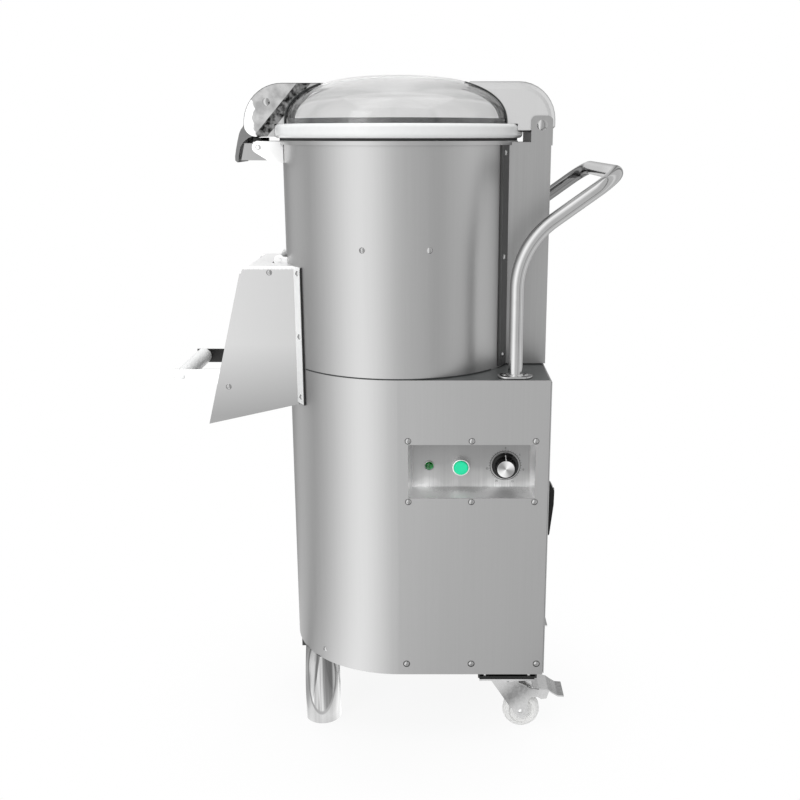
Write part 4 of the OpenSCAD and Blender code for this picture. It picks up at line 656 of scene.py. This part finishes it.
def facing_out(side, x, y, z):
    """The same on the front side, which is -1, and turned to the rear on the other side, 1."""
    return facing_front(x, y, z) @ Matrix.Rotation(0 if side < 0 else pi, 4, "X")


def rectangle(left, right, low, high):
    """The corners of a rectangle: an outline for a plate, or a band's section of (radius, height) points to spin."""
    return [(left, low), (right, low), (right, high), (left, high)]


print("a rectangle:", rectangle(1, 2, 0, 5))


# %% [markdown]
# ## Clear dome
# A thermoformed shell of 4 mm polycarbonate. The CAD node has the right form, but its triangles would show as facets
# in the refraction. The same flattened-round profile, spun in fine steps with a real wall, stays smooth.

# %% Dome
DOME_R, DOME_H, DOME_T, DOME_Z, DOME_FOOT = 181, 76, 4, 995, 8


def dome_curve(r, h, steps=40):
    """The dome's profile from its rim to its crown: a round that is flattened at the top."""
    share = 2 / 2.5
    angles = [pi / 2 * i / steps for i in range(steps + 1)]
    return [(r * cos(a) ** share if i < steps else 0, DOME_Z + h * sin(a) ** share) for i, a in enumerate(angles)]


bm = bmesh.new()
outer = [(DOME_R, DOME_Z - DOME_FOOT), *dome_curve(DOME_R, DOME_H)]
inner = [(DOME_R - DOME_T, DOME_Z - DOME_FOOT), *dome_curve(DOME_R - DOME_T, DOME_H - DOME_T)]
spun(bm, outer + inner[::-1], steps=128)
rims = [e for e in bm.edges if e.is_boundary]
bmesh.ops.bridge_loops(bm, edges=rims)
piece(bm, "dome_shell", "lid", clear_dome, ["lid_dome"], crease=50)


# %% [markdown]
# ## Edge trims
# The sheets of the two boxes end on the dome in a thin rubber trim. It follows the dome's curve in an upright plane, so
# its sections are worked out from the dome's own profile and joined, one strip for each of the four sheet edges.

# %% Trims
TRIM_T, TRIM_GAP, TRIM_W, TRIM_FOOT = 1.7, 0.35, 2.5, 997.2
LATCH_SIDE_Y, LATCH_SIDE_TOP, HINGE_SIDE_Y, HINGE_SIDE_TOP = 48.3, 1056, 70.3, 1057


def dome_r_at(z):
    """The dome's outer radius at a height."""
    return DOME_R * (1 - ((z - DOME_Z) / DOME_H) ** 2.5) ** 0.4


def trim_strip(bm, end, side, y_in, top_z, steps=28):
    """A strip along the dome from the lid ring to top_z, on the left (end -1) or the right."""
    rows = []
    for i in range(steps + 1):
        z = TRIM_FOOT + (top_z - TRIM_FOOT) * i / steps
        slope = dome_r_at(z + 0.5) - dome_r_at(z - 0.5)
        out = Vector((1, 0, -slope)).normalized()
        row = []
        for y, t in rectangle(y_in, y_in + TRIM_W, TRIM_GAP, TRIM_GAP + TRIM_T):
            x = (dome_r_at(z) ** 2 - y * y) ** 0.5
            row.append(bm.verts.new((end * (x + out.x * t), side * y, z + out.z * t)))
        rows.append(row)
    for low, high in zip(rows, rows[1:]):
        for k in range(4):
            bm.faces.new((low[k], low[(k + 1) % 4], high[(k + 1) % 4], high[k]))
    bm.faces.new(rows[0])
    bm.faces.new(rows[-1])


bm = bmesh.new()
for side in (-1, 1):
    trim_strip(bm, -1, side, LATCH_SIDE_Y, LATCH_SIDE_TOP)
    trim_strip(bm, 1, side, HINGE_SIDE_Y, HINGE_SIDE_TOP)
piece(bm, "dome_trims", "lid", rubber, ["edge_trims"])


# %% [markdown]
# ## Bands and seams
# Thin bands set the large forms apart: the gasket that shows through the dome's foot, the sealant bead where the barrel
# meets the deck, painted shade as black strips on the tower's flanges, and the bright face and a dark line along the
# hood's flanges. Each is a section that is spun. All but the gasket go through a part turn only, so that they stop
# where another sheet lies on the barrel, and they come in pairs, one to the front and one to the rear.

# %% Gasket and bead
def arc_pair(bm, profile, middle, half, steps):
    """Spin a closed profile from middle - half to middle + half degrees from +X, and the same on the other side."""
    for side in (-1, 1):
        start = radians(side * middle - half)
        verts = [bm.verts.new((r * cos(start), r * sin(start), z)) for r, z in profile]
        face = bm.faces.new(verts)
        bmesh.ops.spin(bm, geom=[face, *face.edges, *verts], cent=(0, 0, 0), axis=(0, 0, 1),
                       angle=radians(2 * half), steps=steps)


bm = bmesh.new()
spun(bm, rectangle(174.4, 175.4, 992, 1005), closed=True)
piece(bm, "dome_gasket", "lid", deck_paint)

bm = bmesh.new()
BEAD_Z = 621
bead = [(184.6, 0), (185.5, 0.1), (186, 0.8), (185.9, 1.6), (185.2, 2.2), (184.6, 2.3)]
arc_pair(bm, [(r, BEAD_Z + z) for r, z in bead], 90, 52, 48)
piece(bm, "seam_bead", "machine", rubber)

# %% Painted flange shade, hood flange face and dark line
BARREL_SKIN, FLANGE_IN, FLANGE_SKIN, TAPE_SKIN = 185.1, 187.2, 187.32, 187.6
TOWER_LOW, TOWER_HIGH, HOOD_FLANGE_LOW, HOOD_FLANGE_HIGH = 623.5, 969.5, 563, 781

bm = bmesh.new()
# painted shade: black strips on the tower's flanges, and a wider one on the barrel beside them
arc_pair(bm, rectangle(FLANGE_SKIN, TAPE_SKIN, TOWER_LOW, TOWER_HIGH), 26.9, 3.15, 8)
arc_pair(bm, rectangle(BARREL_SKIN, FLANGE_IN + 0.05, TOWER_LOW, TOWER_HIGH), 30.9, 0.9, 4)
piece(bm, "flange_shade_strips", "machine", painted_shade_black)

bm = bmesh.new()
# a near-white face on the hood's flanges
arc_pair(bm, rectangle(FLANGE_SKIN, TAPE_SKIN, HOOD_FLANGE_LOW, HOOD_FLANGE_HIGH), 147.5, 3.2, 8)
piece(bm, "hood_flange_face", "machine", near_white_face)

bm = bmesh.new()
# a dark line along the edge of the hood's flanges
arc_pair(bm, rectangle(BARREL_SKIN, FLANGE_IN, HOOD_FLANGE_LOW - 1, HOOD_FLANGE_HIGH + 1), 143.9, 0.25, 1)
piece(bm, "hood_dark_line", "machine", seal_rubber)


# %% [markdown]
# ## Latch keeper's lugs and dark blocks
# A bright lug plate with a rivet lies on each side of the keeper, and black blocks sit under the handle box. They are
# small pressed or moulded pieces, so a beveled outline is enough.

# %% Lugs and dark blocks
LUG_X, LUG_Z, LUG_R, LUG_Y, LUG_T = -218, 962, 9.5, 48.8, 1.4
RIVET = [(0, 1.4), (2, 1.3), (3.4, 0.8), (4, 0), (0, 0)]
DARK_BLOCK_Y, DARK_BLOCK_W, DARK_BLOCK_LOW, DARK_BLOCK_HIGH = 37, 12, 970, 976.5

bm = bmesh.new()
lug = [(-178.9, 971), (LUG_X, 971.5)]
lug += [(LUG_X + LUG_R * cos(radians(a)), LUG_Z + LUG_R * sin(radians(a))) for a in range(105, 241, 15)]
lug += [(-198, 938.5), (-178.9, 938.5)]
for side in (-1, 1):
    plate(bm, lug, LUG_T, facing_front(0, side * LUG_Y + LUG_T / 2, 0), 0.3)
    spun(bm, RIVET, facing_out(side, LUG_X, side * (LUG_Y + LUG_T / 2), LUG_Z), 24)
piece(bm, "keeper_lugs", "machine", pale_steel)

# dark blocks under the handle box
bm = bmesh.new()
for side in (-1, 1):
    place = facing_front(0, side * DARK_BLOCK_Y + DARK_BLOCK_W / 2, 0)
    plate(bm, rectangle(-226, -214, DARK_BLOCK_LOW, DARK_BLOCK_HIGH), DARK_BLOCK_W, place, 0.8)
piece(bm, "keeper_dark_blocks", "machine", seal_rubber)


# %% [markdown]
# ## Painted shadow rings
# Each screw on the cabinet's flat sides has a thin dark ring of painted shadow round its head, wide along the skirt and
# narrow round the panel. The screws' places are read from the CAD node: those of its loose solids that are as wide as
# they are high stand square to the front or the rear.

# %% Shadow rings
def loose_boxes(mesh):
    """The boxes, in millimetres about the barrel's axis, of a mesh's loose solids."""
    bm = bmesh.new()
    bm.from_mesh(mesh)
    bmesh.ops.remove_doubles(bm, verts=bm.verts, dist=1e-6)
    left, boxes = set(bm.verts), []
    while left:
        grown = [left.pop()]
        for v in grown:
            near = {e.other_vert(v) for e in v.link_edges} & left
            left -= near
            grown += near
        places = [v.co / MM - Vector((AXIS_X, 0, 0)) for v in grown]
        boxes.append([[f(p[k] for p in places) for k in range(3)] for f in (min, max)])
    bm.free()
    return sorted(boxes)


FRONT_Y, SKIRT_TOP = 185, 200
SKIRT_SHADOW_RING, PANEL_SHADOW_RING, SHADOW_RING_T = 1.1, 0.45, 0.45

bm = bmesh.new()
shadow_rings = 0
for low, high in loose_boxes(nodes["dome_screws"].data):
    side = 1 if low[1] > 0 else -1
    square_on = abs((high[0] - low[0]) - (high[2] - low[2])) < 0.05
    if square_on and low[1] < side * FRONT_Y < high[1]:
        x, z, r = (low[0] + high[0]) / 2, (low[2] + high[2]) / 2, (high[0] - low[0]) / 2
        r_in, r_out = r + 0.05, r + (SKIRT_SHADOW_RING if z < SKIRT_TOP else PANEL_SHADOW_RING)
        # painted shadow: a thin dark ring round each screw head
        shadow_ring = [(r_in, 0.02), (r_out, 0.02), (r_out, 0.25), (r_out - 0.2, SHADOW_RING_T), (r_in, SHADOW_RING_T)]
        spun(bm, shadow_ring, facing_out(side, x, side * FRONT_Y, z), 32, closed=True)
        shadow_rings += 1
piece(bm, "screw_shadow_rings", "machine", painted_shade_black)
print("washers:", shadow_rings)


# %% [markdown]
# ## Push handle
# One tube, 22 mm thick, bent back over the cabinet and across behind the tower. A curve with a round bevel would do,
# but its bends would only come near the CAD model's. Here a ring is pushed along the straight runs and spun round the
# bends, as a tube bender works, and the other half is a mirror image.

# %% Swept tube
def run_on(bm, edges, step):
    """Push the open end of a tube straight on by a vector."""
    made = bmesh.ops.extrude_edge_only(bm, edges=edges)["geom"]
    verts = [g for g in made if isinstance(g, bmesh.types.BMVert)]
    bmesh.ops.translate(bm, vec=step, verts=verts)
    return [e for e in made if isinstance(e, bmesh.types.BMEdge) and e.verts[0] in verts and e.verts[1] in verts]


def bend_on(bm, edges, centre, axis, angle, steps):
    """Carry the open end of a tube round a bend."""
    verts = list({v for e in edges for v in e.verts})
    made = bmesh.ops.spin(bm, geom=verts + edges, cent=centre, axis=axis, angle=angle, steps=steps)["geom_last"]
    return [g for g in made if isinstance(g, bmesh.types.BMEdge)]


HANDLE_R, HANDLE_X, HANDLE_Y, DECK_Z = 11, 180.4, 165, 621
BEND_Z, BEND_R, BEND, BAR_X, CORNER_R = 757, 125, radians(54.4), 327, 40
FOOT_HALF, FOOT_R, FOOT_T = 12, 15, 4
WELD = [(10.6, 4), (13.2, 4), (12.4, 5.2), (11.5, 6.4), (10.6, 7)]
print("the tube's first bend:", round(BEND, 3), "radians")

# %% Handle
bm = bmesh.new()
foot_place = Matrix.Translation((HANDLE_X, -HANDLE_Y, DECK_Z))
bmesh.ops.create_circle(bm, segments=40, radius=HANDLE_R, matrix=foot_place)
edges = bm.edges[:]
bmesh.ops.contextual_create(bm, geom=edges)
edges = run_on(bm, edges, (0, 0, BEND_Z - DECK_Z))
edges = bend_on(bm, edges, (HANDLE_X + BEND_R, -HANDLE_Y, BEND_Z), (0, 1, 0), BEND, 20)
slope = Vector((sin(BEND), 0, cos(BEND)))
start = Vector((HANDLE_X + BEND_R * (1 - cos(BEND)), -HANDLE_Y, BEND_Z + BEND_R * sin(BEND)))
slope_l = (BAR_X - start.x) / sin(BEND) - CORNER_R
edges = run_on(bm, edges, slope * slope_l)
corner = start + slope * slope_l + Vector((0, CORNER_R, 0))
edges = bend_on(bm, edges, corner, slope.cross(Vector((0, 1, 0))), pi / 2, 20)
run_on(bm, edges, (0, HANDLE_Y - CORNER_R, 0))
bmesh.ops.mirror(bm, geom=bm.verts[:] + bm.edges[:] + bm.faces[:], axis="Y", merge_dist=0.01)
for side in (-1, 1):
    place = Matrix.Translation((HANDLE_X, side * HANDLE_Y, DECK_Z))
    foot = []
    for end in (-1, 1):
        for i in range(13):
            a = (i / 12 - 0.5) * pi + (0 if end > 0 else pi)
            foot.append((end * FOOT_HALF + FOOT_R * cos(a), FOOT_R * sin(a)))
    plate(bm, foot, FOOT_T, place, 0.8)
    spun(bm, WELD, place, 40, closed=True)
piece(bm, "push_tube", "machine", tube_steel, ["push_handle"])


# %% [markdown]
# ## Flap grip
# A round bar with soft rings that keep wet fingers from slipping. A plain cylinder would lose them, so the rings are
# in the profile that is spun.

# %% Grip
GRIP_X, GRIP_Z, GRIP_R, HALF_W, PIN_R, PIN_OUT = -350, 603, 13.5, 80, 3.9, 4.4
WAVES, WAVE_H, WAVE_STEPS = 9, 0.25, 8
PIN_HEAD = [(0, 2.1), (2.4, 1.9), (4.4, 1.1), (5.2, 0), (0, 0)]

bm = bmesh.new()
profile = [(0, -HALF_W - PIN_OUT), (PIN_R, -HALF_W - PIN_OUT), (PIN_R, -HALF_W + 0.1), (GRIP_R - 2, -HALF_W + 0.1)]
for i in range(WAVES * WAVE_STEPS + 1):
    t = i / (WAVES * WAVE_STEPS)
    profile.append((GRIP_R - 0.3 + WAVE_H * cos(tau * WAVES * t), (t - 0.5) * (2 * HALF_W - 3)))
profile += [(GRIP_R - 2, HALF_W - 0.1), (PIN_R, HALF_W - 0.1), (PIN_R, HALF_W + PIN_OUT), (0, HALF_W + PIN_OUT)]
spun(bm, profile, facing_front(GRIP_X, 0, GRIP_Z), 48)
for side in (-1, 1):
    spun(bm, PIN_HEAD, facing_out(side, GRIP_X, side * (HALF_W + 4), GRIP_Z), 32)
piece(bm, "grip_bar", "flap", grip_pale, ["flap_grip"])


# %% [markdown]
# ## Timer knob
# A black moulding with a skirt, a fluted body and a spun aluminium cap. The flutes are pressed into the body by moving
# some of its vertices inwards, and the cap has real turned grooves besides the painted highlight of its finish. A white
# pointer and ticks ride on the skirt.

# %% Knob
KNOB_X, LAMP_X, BUTTON_X, PANEL_Z, TRAY_Y = 168.5, 48.6, 98.5, 476, -155
BODY_LOW, BODY_HIGH, BODY_R, BODY_TAPER, FLUTE_SHRINK = 6.4, 17.8, 16.4, 2.1, 0.965
KNOB_STEPS, FLUTE_EVERY = 120, 5
CAP_R, CAP_FACE, GROOVES, GROOVE_H = 13, 20.25, 52, 0.06

knob_place = facing_front(KNOB_X, TRAY_Y, PANEL_Z)
bm = bmesh.new()
skirt = [(0, 1.1), (20.2, 1.1), (21, 1.7), (21, 3.4), (20.2, 4.4), (17.2, 5.6), (BODY_R, BODY_LOW)]
sides = [(BODY_R - BODY_TAPER * i / 6, BODY_LOW + (BODY_HIGH - BODY_LOW) * i / 6) for i in range(1, 7)]
spun(bm, skirt + sides + [(13.8, 18.6), (13.2, 19), (0, 19)], steps=KNOB_STEPS)
bmesh.ops.remove_doubles(bm, verts=bm.verts, dist=0.002)
for v in bm.verts:
    turn = round(atan2(v.co.y, v.co.x) / tau * KNOB_STEPS) % FLUTE_EVERY
    if BODY_LOW + 1 < v.co.z < BODY_HIGH - 1 and turn in (0, 1):
        v.co.x *= FLUTE_SHRINK
        v.co.y *= FLUTE_SHRINK
bmesh.ops.transform(bm, matrix=knob_place, verts=bm.verts)
piece(bm, "knob_body", "knob", black_plastic, ["timer_knob"])

bm = bmesh.new()
grooves = [(CAP_R * i / GROOVES, CAP_FACE + (GROOVE_H if i % 2 else 0)) for i in range(1, GROOVES)]
spun(bm, [(0, 19.05), (13.4, 19.05), (13.4, 20), *reversed(grooves), (0, CAP_FACE)], knob_place, 96)
piece(bm, "knob_disc", "knob", cap_steel, ["knob_cap"], crease=60)

# %% Pointer and ticks
TICKS, TICK_STEP, POINTER_TICK, POINTER_W = 31, 10, 15, 1.2
bm = bmesh.new()
path = [(20.6, 3.95), (17.2, 5.75), (16.6, 6.6), (15.5, 12), (14.4, 17.9), (13.6, 18.95)]
outline = path + [(r - 0.25, z - 0.15) for r, z in reversed(path)]
on_edge = Matrix(((0, 0, 1, -POINTER_W / 2), (1, 0, 0, 0), (0, 1, 0, 0), (0, 0, 0, 1)))
plate(bm, outline, POINTER_W, on_edge)
for i in range(TICKS):
    turn = Matrix.Rotation(radians(150 - i * TICK_STEP), 4, "Z")
    tick = turn @ Matrix.Translation((0, 18.9, 4.62)) @ Matrix.Rotation(radians(-22), 4, "X")
    if i != POINTER_TICK:
        bmesh.ops.create_cube(bm, size=1, matrix=tick @ Matrix.Diagonal((0.35, 1.8, 0.5, 1)))
bmesh.ops.transform(bm, matrix=knob_place, verts=bm.verts)
piece(bm, "knob_marks", "knob", mark_white)


# %% [markdown]
# ## Button and lamp
# A 22 mm push button in a bright bezel, and a small faceted lamp. Both are turned parts, so spinning is the natural
# way. The lens gets few steps in its spin, which leaves its facets.

# %% Button and lamp
button_place = facing_front(BUTTON_X, TRAY_Y, PANEL_Z)
bm = bmesh.new()
bezel = [(11.3, 0.1), (14, 0.1), (14, 9.6), (13.7, 10.8), (13, 11.7), (12.2, 12), (11.6, 11.7), (11.3, 11.2)]
spun(bm, bezel, button_place, 72, closed=True)
piece(bm, "button_ring", "machine", bright_strip, ["button_bezel"], crease=50)

bm = bmesh.new()
face = [(0, 13.75), (4, 13.8), (8, 13.95), (10, 14), (10.7, 13.7), (10.95, 13.1), (10.95, 4.1), (0, 4.1)]
spun(bm, face, button_place, 72)
piece(bm, "button_face", "button", button_green, ["start_button"], crease=50)

lamp_place = facing_front(LAMP_X, TRAY_Y, PANEL_Z)
bm = bmesh.new()
spun(bm, [(6.5, 0.1), (8, 0.1), (8, 1.2), (7.5, 1.8), (6.9, 2), (6.5, 1.8)], lamp_place, 48, closed=True)
piece(bm, "lamp_ring", "machine", screw_steel)

bm = bmesh.new()
lens = [(0, 6.6), (2.6, 6.2), (4.6, 5), (5.9, 3.2), (6.4, 1.6), (6.4, 0.1)]
spun(bm, lens + [(5, 0.1), (4.6, 1.2), (3.6, 3.2), (0, 4.2)], lamp_place, 10)
spun(bm, [(0, -21), (5.8, -21), (5.8, -2), (0, -2)], lamp_place, 24)
piece(bm, "lamp_lens", "machine", green_lens, ["pilot_lamp"], crease=10)


# %% [markdown]
# ## Dial print
# A thin ring round the knob with ticks and plain numbers. Print is nearly flat, so the ring is a band of a tenth of a
# millimetre, and the numbers are text objects that are made meshes before they are set in place.

# %% Ring and numbers
RING_IN, RING_OUT, PRINT_T = 23.3, 24.2, 0.1
TICK_R, NUMBER_R, NUMBER_SIZE, NUMBERS, NUMBER_STEP = 25.1, 28.8, 4.4, 6, 52

bm = bmesh.new()
dial_place = facing_front(KNOB_X, TRAY_Y - 0.02, PANEL_Z)
spun(bm, rectangle(RING_IN, RING_OUT, 0, PRINT_T), dial_place, closed=True)
for i in range(TICKS):
    turn = Matrix.Rotation(radians(150 - i * TICK_STEP), 4, "Z")
    tick = dial_place @ turn @ Matrix.Translation((0, TICK_R, PRINT_T / 2))
    bmesh.ops.create_cube(bm, size=1, matrix=tick @ Matrix.Diagonal((0.6, 1.5, PRINT_T, 1)))
for i in range(NUMBERS):
    words = bpy.data.curves.new("number", "FONT")
    words.body, words.size, words.align_x, words.align_y = str(i * 5), NUMBER_SIZE, "CENTER", "CENTER"
    words.extrude, words.resolution_u = PRINT_T / 2, 3
    flat = bpy.data.objects.new("number", words)
    bpy.context.scene.collection.objects.link(flat)
    digits = bpy.data.meshes.new_from_object(flat.evaluated_get(bpy.context.evaluated_depsgraph_get()))
    a = radians(i * NUMBER_STEP)
    digits.transform(dial_place @ Matrix.Translation((NUMBER_R * sin(a), NUMBER_R * cos(a), 0.06)))
    bm.from_mesh(digits)
    bpy.data.objects.remove(flat)
piece(bm, "dial_print", "machine", mark_ink, crease=20)


# %% [markdown]
# ## Floor, backdrop and light
# The machine stands on a plain pale floor under a white dome that only the camera, gloss and glass can see. Steel shows
# what it reflects, so the studio's cards are painted on that dome and on the floor by their azimuth about the barrel:
# one wide soft card in front on the left draws the highlight down the barrel, a second lights its right edge, and a few
# dark ones give the polished tubes their streaks. Lamps could do it too, but a low card would then need to lie on the
# floor in the picture.

# %% Cards
# Azimuth of each card from the front, positive to the right, its half width and its gain over white
CARDS = [
    (-37, 41, 1.25),
    (78, 13, 0.45),
    (-4, 4, -0.3),
    (38, 5, -0.8),
    (143, 12, -0.8),
    (-96, 9, -0.6),
    (-146, 18, -0.75),
    (165, 14, -0.7),
]


def card_light(f):
    """How bright the studio is for gloss, from the place's azimuth about the barrel's axis."""
    x, y, _ = f.axes()
    azimuth = f.math("ARCTAN2", x - AXIS_X * MM, y * -1.0)
    light = 1.0
    for middle, half, gain in CARDS:
        card = f.share(f.math("ABSOLUTE", azimuth - radians(middle)), radians(half), 0.0)
        light = card * gain + light
    return light


def paths(f):
    """1 or 0 for a ray from the camera, from gloss, and through glass."""
    path = f.node("ShaderNodeLightPath").socket.node.outputs
    return [Value(f, path[n]) for n in ("Is Camera Ray", "Is Glossy Ray", "Is Transmission Ray")]


def studio_glow(f):
    """White to the camera and through glass, and the cards' light to gloss."""
    glossy = paths(f)[1]
    return f.node("ShaderNodeEmission", None, {"Strength": glossy * (card_light(f) - 1.0) + 1.0})


print("cards:", len(CARDS))

# %% Floor
FADE_START, FADE_END, FADE_LEAST = 0.15, 0.55, 0.9
STUDIO_R, FLOOR_DROP = 8, 0.0005


def floor_finish():
    """Matt near the machine, where it catches a faint shadow, and plain white farther out."""
    f = Finish("pale_floor")
    spots = f.noise(3)
    matt = f.node("ShaderNodeBsdfPrincipled", None,
                  {"Base Color": f.ramp(spots, grey(232), grey(238)), "Roughness": 0.8})
    seen, glossy, through = paths(f)
    away = f.node("ShaderNodeVectorMath", {"operation": "LENGTH"}, [f.place], "Value")
    share = f.node("ShaderNodeMapRange", {"interpolation_type": "SMOOTHSTEP"},
                   {"Value": away, "From Min": FADE_START, "From Max": FADE_END, "To Min": FADE_LEAST})
    mix = f.node("ShaderNodeMixShader", None, [seen * share + glossy + through, matt, studio_glow(f)])
    f.node("ShaderNodeOutputMaterial", None, {"Surface": mix})
    return f.material


def staged(bm, name, material):
    """A mesh of the studio, which is no piece of the machine."""
    data = bpy.data.meshes.new(name)
    bm.to_mesh(data)
    bm.free()
    data.materials.append(material)
    made = bpy.data.objects.new(name, data)
    bpy.context.scene.collection.objects.link(made)
    made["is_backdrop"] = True
    return made


bm = bmesh.new()
bmesh.ops.create_grid(bm, x_segments=1, y_segments=1, size=STUDIO_R)
floor = staged(bm, "floor", floor_finish())
floor.location.z = -FLOOR_DROP
print("floor laid")

# %% Backdrop and world
WORLD_LIGHT = 0.66
backdrop_finish = Finish("white_backdrop")
backdrop_finish.node("ShaderNodeOutputMaterial", None, {"Surface": studio_glow(backdrop_finish)})
bm = bmesh.new()
bmesh.ops.create_uvsphere(bm, u_segments=96, v_segments=48, radius=STUDIO_R)
backdrop = staged(bm, "backdrop", backdrop_finish.material)
backdrop.visible_diffuse = False
backdrop.visible_shadow = False

bpy.context.scene.view_settings.view_transform = "Standard"
world = bpy.data.worlds.new("studio")
bpy.context.scene.world = world
world.use_nodes = True
background = world.node_tree.nodes["Background"]
background.inputs["Color"].default_value = (1, 1, 1, 1)
background.inputs["Strength"].default_value = WORLD_LIGHT
print("the world lights matt surfaces with", WORLD_LIGHT)


# %% Lamps
def softbox(name, place, aim, size, watts):
    """A rectangular lamp at place that points at aim."""
    data = bpy.data.lights.new(name, "AREA")
    data.shape = "RECTANGLE"
    data.size, data.size_y = size
    data.energy = watts
    lamp = bpy.data.objects.new(name, data)
    lamp.location = place
    lamp.rotation_euler = (Vector(aim) - Vector(place)).to_track_quat("-Z", "Y").to_euler()
    lamp.visible_camera = False
    lamp.visible_glossy = False
    bpy.context.scene.collection.objects.link(lamp)


def at(azimuth, distance, z):
    """A place seen from the barrel's axis: azimuth 0 is in front and 90 to the right, in degrees."""
    return (AXIS_X * MM + distance * sin(radians(azimuth)), -distance * cos(radians(azimuth)), z)


softbox("front_left", at(-38, 2.6, 1.4), (0, 0, 0.6), (0.9, 2.4), 24)
softbox("top", (0.0, -0.3, 2.6), (0, 0, 0.9), (2.0, 2.0), 22)
softbox("back_right", at(150, 2.6, 1.2), (0, 0, 0.6), (0.7, 2.2), 14)
softbox("back_left", at(-150, 2.6, 1.2), (0, 0, 0.6), (0.7, 2.2), 14)


# %% Print the scene's box
low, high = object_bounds()
print("scene box:", [round(v, 4) for v in (*low, *high)])
